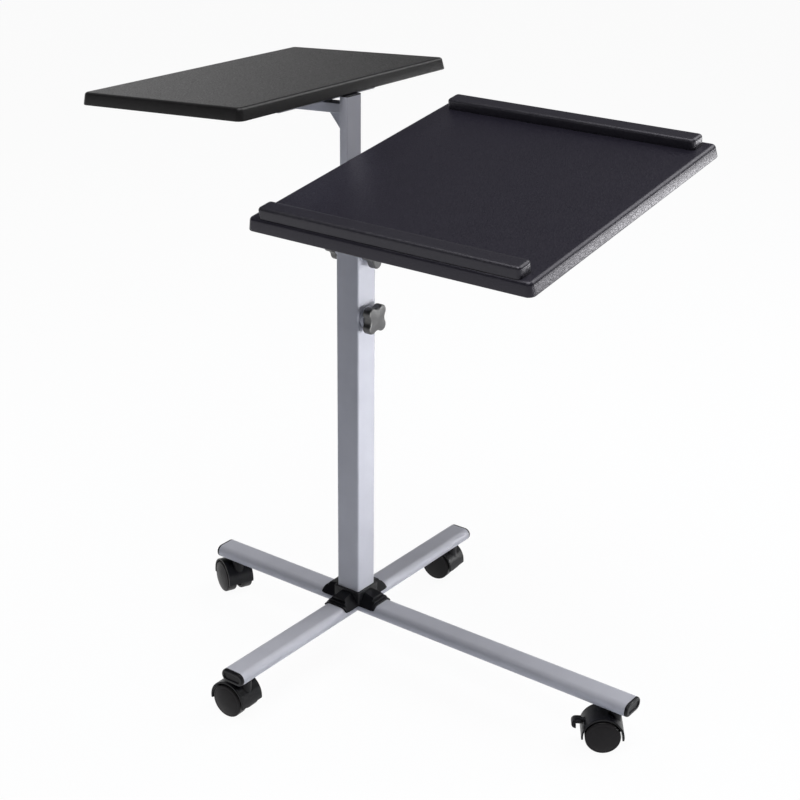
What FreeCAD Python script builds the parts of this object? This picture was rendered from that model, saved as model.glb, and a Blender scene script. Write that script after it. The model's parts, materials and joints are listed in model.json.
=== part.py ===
import FreeCAD, Part
import math
import os

# Projector cart on a cross base with two black boards on telescoping posts.
# Millimetres; the floor is z = 0, X runs along the long base arm, Y along the two equal arms, Z up.
# The pieces are laid out around the main post's axis and moved to the frame's origin on export.

V = FreeCAD.Vector
X_AXIS = V(1, 0, 0)
Y_AXIS = V(0, 1, 0)
Z_AXIS = V(0, 0, 1)

# Fits between pieces
turn_clearance = 0.08
slide_clearance = 0.30
seat_clearance = 0.05
cut_margin = 1.0
touch = 1e-4

# Base tubes
tube_width = 40.0
tube_height = 20.0
tube_wall = 1.5
tube_top = 83.0
long_arm = 480.0
short_arm = 267.0
side_arm = 278.0
plug_depth = 12.0
plug_flange = 4.5
plug_round = 3.0
plug_rim = 5.0
plug_dish = 1.5
plug_wall = 2.0

# Saddle cover over the crossing of the tubes, with ridges that step up towards the collar.
# Heights are above the tubes, and each ledge pairs with the reach it ends at.
saddle_reach = 50.0
saddle_wall = 3.0
saddle_drop = 5.0
saddle_ledge_reaches = (46.5, 42.3)
saddle_ledge_heights = (5.8, 10.3)
saddle_ridge_half = 10.8
saddle_ramp_height = 13.2
saddle_collar_height = 17.0
saddle_collar_wall = 3.5
saddle_collar_corner = 1.5

# Main post
post_size = 40.0
post_wall = 1.5
post_corner = 3.0
post_top = 668.0
guide_flange = 4.0
guide_depth = 24.0
guide_round = 1.0

# Clamp knobs, with their heights below the post's mouth and the turn they were left at
knob_low_drop = 131.0
knob_high_drop = 32.0
knob_low_turn = 0.0
knob_high_turn = 45.0
knob_rear_turn = 45.0
knob_lobe_offset = 15.0
knob_lobe_radius = 8.8
knob_valley_offset = 27.5
knob_thickness = 14.0
knob_bevel = 1.6
boss_diameter = 33.6
boss_length = 6.0
boss_gap = 0.5
stud_diameter = 8.0
stud_seat = 3.0

# Telescoping inner posts, with how far they stand out of the main post
inner_size_x = 14.0
inner_size_y = 31.0
inner_wall = 1.5
inner_corner = 2.0
inner_gap = 5.2
inner_overlap = 268.0
upper_rise = 180.5
upper_cap_flange = 1.6
upper_cap_depth = 10.0
upper_cap_round = 0.8

# Upper board, its arm and the two rails between them
upper_length = 291.6
upper_depth = 447.0
upper_thickness = 17.0
upper_corner = 10.0
upper_lean = 3.6
upper_top_round = 4.5
upper_bottom_round = 1.2
upper_overhang = 10.0
upper_cap_gap = 0.4
upper_droop = 3.6
upper_arm_width = 20.0
upper_arm_height = 14.0
upper_arm_wall = 1.5
upper_arm_length = 210.0
upper_rail_height = 12.4
upper_rail_width = 40.0
upper_rail_length = 206.0
upper_rail_wall = 1.5
upper_rail_inset = 31.4
gusset_length = 30.0
gusset_height = 39.0
gusset_thickness = 4.0

# Main board, its lips and its tilting hinge
main_left = 2.6
main_width = 430.6
main_depth = 463.0
main_offset = 3.2
main_thickness = 18.0
main_corner = 10.0
main_lean = 3.4
main_top_round = 4.0
main_bottom_round = 1.2
main_tilt = 9.5
hinge_rise = 56.0
hinge_to_board = 29.0
hinge_bar_diameter = 25.0
hinge_bar_wall = 2.0
hinge_bar_end = 345.0
post_head_above_hinge = 12.0
knuckle_wall = 4.0
knuckle_length = 40.0
knuckle_first = 70.0
knuckle_spacing = 220.0
bracket_plate = 4.0
bracket_plate_depth = 90.0
bracket_corner = 6.0
bracket_web = 20.0
lip_depth = 27.0
lip_height = 15.0
lip_corner = 6.0
lip_round = 4.5
lip_end_margin = 18.5
lip_front_margin = 5.5
lip_back_margin = 12.0

# Casters
wheel_diameter = 50.0
wheel_width = 17.0
wheel_gap = 10.0
wheel_dome = 2.5
wheel_tread_bevel = 2.5
wheel_rim = 4.0
wheel_groove_width = 10.0
wheel_groove_depth = 5.0
wheel_disc = 3.0
axle_diameter = 6.0
axle_end_gap = 1.0
axle_hub_wall = 4.0
caster_trail = 17.0
hood_clearance = 2.3
hood_wall = 2.7
hood_width = 42.0
hood_skirt = 4.0
hood_web = 6.0
hood_boss_diameter = 18.0
stem_diameter = 8.0
stem_floor = 2.0
stem_foot_gap = 0.5
stem_collar_diameter = 17.0
stem_collar_height = 3.0
stem_in_tube = 12.0
stem_gap = 0.5
stem_inset = 23.0
front_caster_turn = 214.0
rear_caster_turn = 156.0
left_caster_turn = 181.0
right_caster_turn = 184.0

# Brake pedal of the caster on the long arm
pedal_angle = 32.0
pedal_pin_diameter = 2.4
pedal_pin_seat = 2.0
pedal_hub_wall = 1.5
pedal_slot_width = 8.0
pedal_slot_angle = 9.0
pedal_slot_depth = 6.0
pedal_neck = 4.5
pedal_neck_width = 6.4
pedal_width = 15.0
pedal_reach = 16.5
pedal_thickness = 4.0
pedal_hook = 8.0

# Values that follow from the ones above
tube_middle = tube_top - tube_height / 2
tube_bottom = tube_top - tube_height
post_inner_corner = post_corner - post_wall / 2
inner_bore_corner = inner_corner - inner_wall / 2
inner_center_x = (inner_gap + inner_size_x) / 2
inner_foot = post_top - inner_overlap
upper_post_face = -inner_center_x - inner_size_x / 2
upper_post_top = post_top + upper_rise
upper_underside = upper_post_top + upper_cap_flange + upper_cap_gap
hinge_height = post_top + hinge_rise
main_front = main_offset - main_depth / 2
main_back = main_offset + main_depth / 2
knob_low_height = post_top - knob_low_drop
knob_high_height = post_top - knob_high_drop
wheel_radius = wheel_diameter / 2
hood_inner = wheel_radius + hood_clearance
hood_outer = hood_inner + hood_wall
boss_top = tube_bottom - stem_collar_height - stem_gap
stem_hole_floor = math.sqrt(hood_inner ** 2 - caster_trail ** 2) + stem_floor


def box(x0, x1, y0, y1, z0, z1):
    """Box between two corners."""
    return Part.makeBox(x1 - x0, y1 - y0, z1 - z0, V(x0, y0, z0))


def moved(shape, x, y, z):
    """Copy of a shape, shifted."""
    return shape.translated(V(x, y, z))


def turned(shape, degrees, axis=Z_AXIS, base=V(0, 0, 0)):
    """Copy of a shape, turned about an axis through a point."""
    copy = shape.copy()
    copy.rotate(base, axis, degrees)
    return copy


def edges_at(shape, z):
    """Edges that lie whole in the level plane at height z."""
    found = []
    for edge in shape.Edges:
        bounds = edge.BoundBox
        if abs(bounds.ZMin - z) < touch and abs(bounds.ZMax - z) < touch:
            found.append(edge)
    return found


def upright_edges(shape):
    """Straight edges that run along Z."""
    found = []
    for edge in shape.Edges:
        bounds = edge.BoundBox
        if bounds.XLength < touch and bounds.YLength < touch:
            found.append(edge)
    return found


def rounded_prism(x0, x1, y0, y1, z0, z1, radius):
    """Upright prism of a rectangle with rounded corners."""
    prism = box(x0, x1, y0, y1, z0, z1)
    return prism.makeFillet(radius, upright_edges(prism))


def rounded_loop(x0, x1, y0, y1, z, radius):
    """Closed level outline of a rectangle with rounded corners."""
    prism = rounded_prism(x0, x1, y0, y1, z, z + cut_margin, radius)
    floor = [face for face in prism.Faces if face.BoundBox.ZMax < z + touch]
    return floor[0].OuterWire


def square_tube(cx, cy, size_x, size_y, z0, z1, wall, radius):
    """Upright rectangular tube with rounded corners, open at both ends."""
    hx = size_x / 2
    hy = size_y / 2
    outer = rounded_prism(cx - hx, cx + hx, cy - hy, cy + hy, z0, z1, radius)
    ix = hx - wall
    iy = hy - wall
    inner = rounded_prism(cx - ix, cx + ix, cy - iy, cy + iy, z0, z1, radius - wall / 2)
    return outer.cut(inner)


def oval_bar(width, height, x0, x1):
    """Flat-oval bar along X, centred on the X axis."""
    r = height / 2
    s = width / 2 - r
    low = Part.makeLine(V(x0, -s, -r), V(x0, s, -r))
    right = Part.Arc(V(x0, s, -r), V(x0, s + r, 0), V(x0, s, r)).toShape()
    high = Part.makeLine(V(x0, s, r), V(x0, -s, r))
    left = Part.Arc(V(x0, -s, r), V(x0, -s - r, 0), V(x0, -s, -r)).toShape()
    face = Part.Face(Part.Wire([low, right, high, left]))
    return face.extrude(V(x1 - x0, 0, 0))


def rod(diameter, start, length, axis):
    """Round rod from a start point along an axis."""
    return Part.makeCylinder(diameter / 2, length, start, axis)


def stem_points():
    """Swivel axes of the four casters with the direction each one trails in."""
    return {
        "front": (long_arm - stem_inset, 0.0, front_caster_turn),
        "rear": (stem_inset - short_arm, 0.0, rear_caster_turn),
        "left": (0.0, stem_inset - side_arm, left_caster_turn),
        "right": (0.0, side_arm - stem_inset, right_caster_turn),
    }


def stem_holes():
    """Round holes for the caster stems through the lower tube walls."""
    holes = []
    for x, y, turn in stem_points().values():
        start = V(x, y, tube_bottom - cut_margin)
        holes.append(rod(stem_diameter + 2 * seat_clearance, start, tube_height / 2, Z_AXIS))
    return Part.makeCompound(holes)


def long_tube():
    """Straight flat-oval tube that makes the front and rear arms."""
    outer = oval_bar(tube_width, tube_height, -short_arm, long_arm)
    inner = oval_bar(tube_width - 2 * tube_wall, tube_height - 2 * tube_wall, -short_arm, long_arm)
    tube = moved(outer.cut(inner), 0, 0, tube_middle)
    return tube.cut(stem_holes())


def side_tube(sign):
    """Side arm, coped to the long tube's rounded side."""
    outer = oval_bar(tube_width, tube_height, 0, side_arm)
    inner = oval_bar(tube_width - 2 * tube_wall, tube_height - 2 * tube_wall, 0, side_arm)
    tube = outer.cut(inner)
    tube = turned(tube, 90.0 * sign)
    cope = oval_bar(tube_width, tube_height, -tube_width, tube_width)
    tube = tube.cut(cope)
    tube = moved(tube, 0, 0, tube_middle)
    return tube.cut(stem_holes()).Solids[0]


def end_plug(x_end):
    """Tube plug for an arm that ends at x_end on the X axis, with a rounded, dished flange."""
    flange = oval_bar(tube_width, tube_height, 0, plug_flange)
    outer_edges = [e for e in flange.Edges if abs(e.BoundBox.XMin - plug_flange) < touch]
    flange = flange.makeFillet(plug_round, outer_edges)
    rim = 2 * plug_rim
    dish = oval_bar(tube_width - rim, tube_height - rim, plug_flange - plug_dish, plug_flange + cut_margin)
    flange = flange.cut(dish)
    fit = 2 * (tube_wall + seat_clearance)
    core = oval_bar(tube_width - fit, tube_height - fit, -plug_depth, 0)
    bore = fit + 2 * plug_wall
    hollow = oval_bar(tube_width - bore, tube_height - bore, -plug_depth, -plug_wall)
    return moved(flange.fuse(core.cut(hollow)).removeSplitter(), x_end, 0, tube_middle)


def end_plugs():
    """The four end plugs of the base."""
    front = end_plug(long_arm)
    rear = turned(end_plug(short_arm), 180)
    left = turned(end_plug(side_arm), -90)
    right = turned(end_plug(side_arm), 90)
    return Part.makeCompound([front, rear, left, right])


def saddle_sleeve():
    """Arched cover over the tube along X, open below."""
    wall = 2 * saddle_wall
    cover = oval_bar(tube_width + wall, tube_height + wall, -saddle_reach, saddle_reach)
    low = tube_height / 2 - saddle_drop
    trim = box(-saddle_reach, saddle_reach, -tube_width, tube_width, -tube_height, low)
    return cover.cut(trim)


def saddle_ridge():
    """Back along X that climbs from the sleeve over ledges to the collar, between two flat leaning sides."""
    flat = tube_height / 2
    foot = flat - saddle_drop
    ramp_top = flat + saddle_ramp_height
    side = []
    level = foot
    for reach, height in zip(saddle_ledge_reaches, saddle_ledge_heights):
        side.append((reach, level))
        level = flat + height
        side.append((reach, level))
    side.append((post_size / 2 + saddle_collar_wall, ramp_top))
    outline = [V(x, 0, z) for x, z in side] + [V(-x, 0, z) for x, z in reversed(side)]
    face = Part.Face(Part.makePolygon(outline + [outline[0]]))
    back = moved(face.extrude(V(0, 2 * tube_width, 0)), 0, -tube_width, 0)
    foot_half = tube_width / 2 + saddle_wall
    lean = (foot_half - saddle_ridge_half) / (level - foot)
    top_half = foot_half - lean * (ramp_top - foot)
    section = [(-foot_half, foot), (foot_half, foot), (top_half, ramp_top), (-top_half, ramp_top)]
    corners = [V(-saddle_reach, y, z) for y, z in section]
    roof = Part.Face(Part.makePolygon(corners + [corners[0]])).extrude(V(2 * saddle_reach, 0, 0))
    return back.common(roof)


def saddle():
    """Moulded cross that covers the joint of the tubes and holds the foot of the post."""
    arms = saddle_sleeve().fuse(saddle_ridge())
    half = post_size / 2 + saddle_collar_wall
    low = tube_height / 2 - saddle_drop
    high = tube_height / 2 + saddle_collar_height
    collar = rounded_prism(-half, half, -half, half, low, high, saddle_collar_corner)
    body = arms.fuse([turned(arms, 90), collar])
    tube_x = oval_bar(tube_width, tube_height, -2 * saddle_reach, 2 * saddle_reach)
    hole_half = post_size / 2 + seat_clearance
    hole = rounded_prism(-hole_half, hole_half, -hole_half, hole_half, -high, 2 * high, post_corner)
    body = body.cut([tube_x, turned(tube_x, 90), hole])
    return moved(body.removeSplitter(), 0, 0, tube_middle)


def main_post():
    """Square post with the threaded holes of the clamp knobs."""
    post = square_tube(0, 0, post_size, post_size, tube_top, post_top, post_wall, post_corner)
    hole = stud_diameter + 2 * turn_clearance
    reach = post_size
    cuts = [
        rod(hole, V(0, 0, knob_low_height), reach, X_AXIS),
        rod(hole, V(0, 0, knob_high_height), reach, X_AXIS),
        rod(hole, V(-reach, 0, knob_high_height), reach, X_AXIS),
    ]
    return post.cut(cuts)


def clamp_bosses():
    """Round nut bosses on the post's faces behind the knobs."""
    hole = stud_diameter + 2 * turn_clearance
    boss = rod(boss_diameter, V(post_size / 2, 0, 0), boss_length, X_AXIS)
    boss = boss.cut(rod(hole, V(0, 0, 0), post_size, X_AXIS))
    low = moved(boss, 0, 0, knob_low_height)
    high = moved(boss, 0, 0, knob_high_height)
    back = turned(boss, 180)
    return Part.makeCompound([low, high, moved(back, 0, 0, knob_high_height)])


def post_guide():
    """Plastic guide in the mouth of the main post with a slot for each inner post."""
    half = post_size / 2
    flange = rounded_prism(-half, half, -half, half, post_top, post_top + guide_flange, post_corner)
    flange = flange.makeFillet(guide_round, edges_at(flange, post_top + guide_flange))
    inner = half - post_wall - seat_clearance
    core = rounded_prism(-inner, inner, -inner, inner, post_top - guide_depth, post_top, post_inner_corner)
    guide = flange.fuse(core)
    hx = inner_size_x / 2 + slide_clearance
    hy = inner_size_y / 2 + slide_clearance
    low = post_top - guide_depth - cut_margin
    high = post_top + guide_flange + cut_margin
    for side in (-1, 1):
        cx = side * inner_center_x
        guide = guide.cut(rounded_prism(cx - hx, cx + hx, -hy, hy, low, high, inner_corner))
    return guide


def lobed_outline():
    """Four-lobe knob outline in the YZ plane: convex lobes joined by tangent hollow arcs."""
    d = knob_lobe_offset
    e = knob_valley_offset
    span = math.sqrt(d * d + e * e - 2 * d * e * math.cos(math.pi / 4))
    valley_radius = span - knob_lobe_radius
    edges = []

    def polar(radius, degrees):
        a = math.radians(degrees)
        return V(0, radius * math.cos(a), radius * math.sin(a))

    def tangent(lobe_degrees, valley_degrees):
        lobe = polar(d, lobe_degrees)
        toward = polar(e, valley_degrees) - lobe
        return lobe + toward * (knob_lobe_radius / toward.Length)

    for k in range(4):
        lobe = 45.0 + 90.0 * k
        start = tangent(lobe, lobe - 45)
        finish = tangent(lobe, lobe + 45)
        edges.append(Part.Arc(start, polar(d + knob_lobe_radius, lobe), finish).toShape())
        following = tangent(lobe + 90, lobe + 45)
        edges.append(Part.Arc(finish, polar(e - valley_radius, lobe + 45), following).toShape())
    return Part.Face(Part.Wire(edges))


def clamp_knob(height, side, turn):
    """Four-lobe knob with its stud, pointing out of the post's face on one side."""
    x0 = post_size / 2 + boss_length + boss_gap
    head = moved(lobed_outline().extrude(V(knob_thickness, 0, 0)), x0, 0, 0)
    rims = [e for e in head.Edges if e.BoundBox.XLength < touch]
    head = head.makeChamfer(knob_bevel, rims)
    head = turned(head, turn, X_AXIS)
    tip = inner_center_x + inner_size_x / 2 + slide_clearance
    stud = rod(stud_diameter, V(tip, 0, 0), x0 + stud_seat - tip, X_AXIS)
    knob = head.fuse(stud)
    if side < 0:
        knob = turned(knob, 180)
    return moved(knob, 0, 0, height)


def upper_post():
    """Inner post that carries the upper board."""
    return square_tube(-inner_center_x, 0, inner_size_x, inner_size_y, inner_foot, upper_post_top,
                       inner_wall, inner_corner)


def upper_post_cap():
    """Plastic plug on the top of the upper post."""
    cx = -inner_center_x
    hx = inner_size_x / 2
    hy = inner_size_y / 2
    top = upper_post_top + upper_cap_flange
    flange = rounded_prism(cx - hx, cx + hx, -hy, hy, upper_post_top, top, inner_corner)
    flange = flange.makeFillet(upper_cap_round, edges_at(flange, top))
    fit = inner_wall + seat_clearance
    low = upper_post_top - upper_cap_depth
    core = rounded_prism(cx - hx + fit, cx + hx - fit, fit - hy, hy - fit, low, upper_post_top,
                         inner_bore_corner)
    return flange.fuse(core)


def on_upper_arm(shape):
    """Place a shape drawn with the board's underside at z = 0 on the drooping arm."""
    pivot = V(upper_post_face, 0, upper_underside)
    return turned(moved(shape, pivot.x, pivot.y, pivot.z), -upper_droop, Y_AXIS, pivot)


def behind_post_face(shape):
    """Trim what reaches past the upper post's rear face."""
    reach = 2 * upper_length
    keep = box(upper_post_face - reach, upper_post_face, -reach, reach, 0, 2 * upper_underside)
    return shape.common(keep)


def upper_arm():
    """Rectangular arm under the upper board, cut flush to the post's face."""
    high = -upper_rail_height
    low = high - upper_arm_height
    half = upper_arm_width / 2
    outer = box(-upper_arm_length, upper_arm_height, -half, half, low, high)
    along = [e for e in outer.Edges if e.BoundBox.YLength < touch and e.BoundBox.ZLength < touch]
    outer = outer.makeFillet(upper_arm_wall, along)
    w = upper_arm_wall
    inner = box(w - upper_arm_length, upper_arm_height, w - half, half - w, low + w, high - w)
    return behind_post_face(on_upper_arm(outer.cut(inner)))


def gusset():
    """Triangular plate in the corner under the arm."""
    top = -upper_rail_height - upper_arm_height
    low = top - gusset_height
    corner = [V(gusset_length, 0, top), V(-gusset_length, 0, top), V(0, 0, low), V(gusset_length, 0, low)]
    outline = Part.makePolygon(corner + [corner[0]])
    plate = Part.Face(outline).extrude(V(0, gusset_thickness, 0))
    return behind_post_face(on_upper_arm(moved(plate, 0, -gusset_thickness / 2, 0)))


def upper_rails():
    """Two rectangular tubes across the arm that carry the upper board."""
    half = upper_rail_length / 2
    w = upper_rail_wall
    rails = []
    for x in (-upper_rail_inset, -upper_arm_length + upper_rail_width):
        outer = box(x - upper_rail_width, x, -half, half, -upper_rail_height, 0)
        along = [e for e in outer.Edges if e.BoundBox.XLength < touch and e.BoundBox.ZLength < touch]
        outer = outer.makeFillet(w, along)
        inner = box(x - upper_rail_width + w, x - w, -half, half, w - upper_rail_height, -w)
        rails.append(on_upper_arm(outer.cut(inner)))
    return Part.makeCompound(rails)


def board(x0, x1, y0, y1, thickness, corner, lean, top_round, bottom_round):
    """Flat board with sides that lean in towards a rounded top edge, its underside at z = 0."""
    low = rounded_loop(x0, x1, y0, y1, 0, corner)
    high = rounded_loop(x0 + lean, x1 - lean, y0 + lean, y1 - lean, thickness, corner - lean)
    plate = Part.makeLoft([low, high], True, True)
    plate = plate.makeFillet(top_round, edges_at(plate, thickness))
    return plate.makeFillet(bottom_round, edges_at(plate, 0))


def upper_board():
    """Small upper board."""
    edge = upper_overhang
    half = upper_depth / 2
    plate = board(edge - upper_length, edge, -half, half, upper_thickness, upper_corner, upper_lean,
                  upper_top_round, upper_bottom_round)
    return on_upper_arm(plate)


def board_post():
    """Inner post that carries the main board."""
    top = hinge_height + post_head_above_hinge
    return square_tube(inner_center_x, 0, inner_size_x, inner_size_y, inner_foot, top,
                       inner_wall, inner_corner)


def hinge_bar():
    """Round bar under the main board that the board tilts on."""
    x0 = inner_center_x + inner_size_x / 2
    start = V(x0, 0, hinge_height)
    length = hinge_bar_end - x0
    outer = rod(hinge_bar_diameter, start, length, X_AXIS)
    return outer.cut(rod(hinge_bar_diameter - 2 * hinge_bar_wall, start, length, X_AXIS))


def on_hinge(shape):
    """Place a shape drawn with the tilt axis on the X axis into the tilted board's position."""
    return moved(turned(shape, main_tilt, X_AXIS), 0, 0, hinge_height)


def tilt_brackets():
    """Two knuckle brackets that hold the main board on the round bar."""
    brackets = []
    bore = hinge_bar_diameter + 2 * turn_clearance
    ring = bore + 2 * knuckle_wall
    for k in range(2):
        x0 = knuckle_first + k * knuckle_spacing
        x1 = x0 + knuckle_length
        half = bracket_plate_depth / 2
        low = hinge_to_board - bracket_plate
        plate = rounded_prism(x0, x1, -half, half, low, hinge_to_board, bracket_corner)
        barrel = rod(ring, V(x0, 0, 0), knuckle_length, X_AXIS)
        web = box(x0, x1, -bracket_web / 2, bracket_web / 2, 0, low)
        solid = plate.fuse([barrel, web]).cut(rod(bore, V(x0, 0, 0), knuckle_length, X_AXIS))
        brackets.append(on_hinge(solid.removeSplitter()))
    return Part.makeCompound(brackets)


def main_board():
    """Large tilting board."""
    plate = board(main_left, main_left + main_width, main_front, main_back, main_thickness, main_corner,
                  main_lean, main_top_round, main_bottom_round)
    return on_hinge(moved(plate, 0, 0, hinge_to_board))


def lip(side):
    """Raised rounded bar along the front or the back edge of the main board."""
    x0 = main_left + lip_end_margin
    x1 = main_left + main_width - lip_end_margin
    y0 = main_front + lip_front_margin
    if side > 0:
        y0 = main_back - lip_back_margin - lip_depth
    y1 = y0 + lip_depth
    z0 = hinge_to_board + main_thickness
    bar = rounded_prism(x0, x1, y0, y1, z0, z0 + lip_height, lip_corner)
    bar = bar.makeFillet(lip_round, edges_at(bar, z0 + lip_height))
    return on_hinge(bar)


def wheel(side):
    """Twin-wheel half with a domed disc and a bevelled tread, on the Y axis at the origin."""
    inner = wheel_gap / 2
    outer = inner + wheel_width
    r = wheel_radius
    t = wheel_tread_bevel
    bore = axle_diameter / 2 + turn_clearance
    groove_out = r - wheel_rim
    groove_in = groove_out - wheel_groove_width
    crown = outer + wheel_dome
    shut = outer - wheel_disc
    points = [
        V(0, crown, 0),
        V(0, shut, 0),
        V(bore, shut, 0),
        V(bore, inner, 0),
        V(groove_in, inner, 0),
        V(groove_in, inner + wheel_groove_depth, 0),
        V(groove_out, inner + wheel_groove_depth, 0),
        V(groove_out, inner, 0),
        V(r - t, inner, 0),
        V(r, inner + t, 0),
        V(r, outer - t, 0),
        V(r - t, outer, 0),
    ]
    edges = []
    for first, second in zip(points, points[1:]):
        edges.append(Part.makeLine(first, second))
    chord = r - t
    sphere = (chord ** 2 + wheel_dome ** 2) / (2 * wheel_dome)
    middle = math.asin(chord / sphere) / 2
    over = V(sphere * math.sin(middle), crown - sphere * (1 - math.cos(middle)), 0)
    edges.append(Part.Arc(points[-1], over, points[0]).toShape())
    half = Part.Face(Part.Wire(edges)).revolve(V(0, 0, 0), Y_AXIS, 360)
    return half if side > 0 else half.mirror(V(0, 0, 0), Y_AXIS)


def caster_hood(braked):
    """Hood over the upper half of the wheels with its web, axle hole and swivel boss.

    The axle lies on the Y axis through the origin; the swivel axis is upright at x = -caster_trail."""
    half = hood_width / 2
    hollow = rod(2 * hood_inner, V(0, -half, 0), hood_width, Y_AXIS)
    shell = rod(2 * hood_outer, V(0, -half, 0), hood_width, Y_AXIS).cut(hollow)
    web = rod(2 * hood_outer - hood_wall, V(0, -hood_web / 2, 0), hood_web, Y_AXIS)
    cover = shell.fuse(web)
    far = 2 * hood_outer
    cover = cover.cut(box(-far, far, -far, far, -far, -hood_skirt))
    top = boss_top - wheel_radius
    boss = rod(hood_boss_diameter, V(-caster_trail, 0, 0), top, Z_AXIS).cut(hollow)
    hub = rod(axle_diameter + 2 * axle_hub_wall, V(0, -hood_web / 2, 0), hood_web, Y_AXIS)
    cover = cover.fuse([boss, hub])
    cover = cover.cut(rod(axle_diameter, V(0, -half, 0), hood_width, Y_AXIS))
    stem_hole = stem_diameter + 2 * turn_clearance
    cover = cover.cut(rod(stem_hole, V(-caster_trail, 0, stem_hole_floor), top, Z_AXIS))
    if braked:
        cover = cover.cut(pedal_slot())
        cover = cover.fuse(pedal_pin())
    return cover.removeSplitter()


def pedal_slot():
    """Wedge-shaped opening in the hood that the pedal swings in."""
    half = pedal_slot_width / 2
    far = 2 * hood_outer
    near = hood_inner - pedal_slot_depth
    points = []
    for angle, radius in ((-1, near), (-1, far), (1, far), (1, near)):
        a = math.radians(pedal_angle + angle * pedal_slot_angle)
        points.append(V(radius * math.cos(a), -half, radius * math.sin(a)))
    face = Part.Face(Part.makePolygon(points + [points[0]]))
    return face.extrude(V(0, pedal_slot_width, 0))


def pedal_pivot():
    """Pivot point of the pedal in the hood's frame."""
    radius = (hood_inner + hood_outer) / 2
    a = math.radians(pedal_angle)
    return V(radius * math.cos(a), 0, radius * math.sin(a))


def pedal_pin():
    """Pin across the slot that the pedal turns on."""
    reach = pedal_slot_width + 2 * pedal_pin_seat
    center = pedal_pivot()
    return rod(pedal_pin_diameter, V(center.x, -reach / 2, center.z), reach, Y_AXIS)


def brake_pedal():
    """Hooked brake pedal in the hood's frame."""
    t = pedal_thickness
    neck = pedal_neck_width / 2
    half = pedal_width / 2
    hub = rod(pedal_pin_diameter + 2 * pedal_hub_wall, V(0, -neck, 0), pedal_neck_width, Y_AXIS)
    arm = box(0, pedal_neck, -neck, neck, -t / 2, t / 2)
    bend = V(pedal_reach - pedal_hook / 2, -half, -pedal_hook / 2)
    plate = box(pedal_neck, bend.x, -half, half, -t / 2, t / 2)
    curl = rod(pedal_hook + t, bend, pedal_width, Y_AXIS).cut(rod(pedal_hook - t, bend, pedal_width, Y_AXIS))
    hook = curl.common(box(bend.x, 2 * pedal_reach, -half, half, -2 * pedal_hook, 2 * pedal_hook))
    body = hub.fuse([arm, plate, hook])
    body = body.cut(rod(pedal_pin_diameter + 2 * turn_clearance, V(0, -half, 0), pedal_width, Y_AXIS))
    center = pedal_pivot()
    return moved(body.removeSplitter(), center.x, 0, center.z)


def axle():
    """Axle through the web and both wheels."""
    length = wheel_gap + 2 * (wheel_width - wheel_disc - axle_end_gap)
    return rod(axle_diameter, V(0, -length / 2, 0), length, Y_AXIS)


def on_caster(shape, name):
    """Place a shape drawn around the axle at one of the casters."""
    x, y, turn = stem_points()[name]
    placed = moved(shape, caster_trail, 0, wheel_radius)
    return moved(turned(placed, turn), x, y, 0)


def caster_stems():
    """Stems with their collars, seated in the lower walls of the tubes."""
    stems = []
    foot = wheel_radius + stem_hole_floor + stem_foot_gap
    for x, y, turn in stem_points().values():
        pin = rod(stem_diameter, V(x, y, foot), tube_bottom + stem_in_tube - foot, Z_AXIS)
        collar_low = tube_bottom - stem_collar_height
        collar = rod(stem_collar_diameter, V(x, y, collar_low), stem_collar_height, Z_AXIS)
        stems.append(pin.fuse(collar).removeSplitter())
    return Part.makeCompound(stems)


def all_pieces():
    """Every node of the cart by name, around the main post's axis."""
    pieces = {
        "long_base_tube": long_tube(),
        "left_base_tube": side_tube(-1),
        "right_base_tube": side_tube(1),
        "tube_end_plugs": end_plugs(),
        "saddle_cover": saddle(),
        "main_post": main_post(),
        "clamp_bosses": clamp_bosses(),
        "post_guide": post_guide(),
        "caster_stems": caster_stems(),
        "low_clamp_knob": clamp_knob(knob_low_height, 1, knob_low_turn),
        "high_clamp_knob": clamp_knob(knob_high_height, 1, knob_high_turn),
        "rear_clamp_knob": clamp_knob(knob_high_height, -1, knob_rear_turn),
        "upper_post": upper_post(),
        "upper_post_cap": upper_post_cap(),
        "upper_arm": upper_arm(),
        "upper_gusset": gusset(),
        "upper_rails": upper_rails(),
        "upper_board": upper_board(),
        "board_post": board_post(),
        "hinge_bar": hinge_bar(),
        "tilt_brackets": tilt_brackets(),
        "main_board": main_board(),
        "front_lip": lip(-1),
        "back_lip": lip(1),
    }
    for name in stem_points():
        pieces[name + "_caster_hood"] = on_caster(caster_hood(name == "front"), name)
        pieces[name + "_caster_axle"] = on_caster(axle(), name)
        pieces[name + "_wheel_a"] = on_caster(wheel(1), name)
        pieces[name + "_wheel_b"] = on_caster(wheel(-1), name)
    pieces["brake_pedal"] = on_caster(brake_pedal(), "front")
    return pieces


def export(pieces):
    """Move the pieces to the origin, the bottom centre of the whole cart's box, and write them."""
    bounds = Part.makeCompound(list(pieces.values())).optimalBoundingBox()
    shift = V(-bounds.Center.x, -bounds.Center.y, -bounds.ZMin)
    os.makedirs("parts", exist_ok=True)
    for name, shape in pieces.items():
        shape.translated(shift).exportStep("parts/" + name + ".step")
    print("shift to the origin:", round(shift.x, 4), round(shift.y, 4), round(shift.z, 4))


export(all_pieces())
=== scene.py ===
"""Looks of the projector cart: boards, posts, knobs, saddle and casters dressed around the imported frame.

Lengths are metres in the row frame: the floor is z = 0, X runs along the long base arm and Z is up.
"""
from __future__ import annotations

import json
import logging
import math
from dataclasses import dataclass, field
from enum import Enum
from functools import cache
from typing import Callable, Sequence

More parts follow.
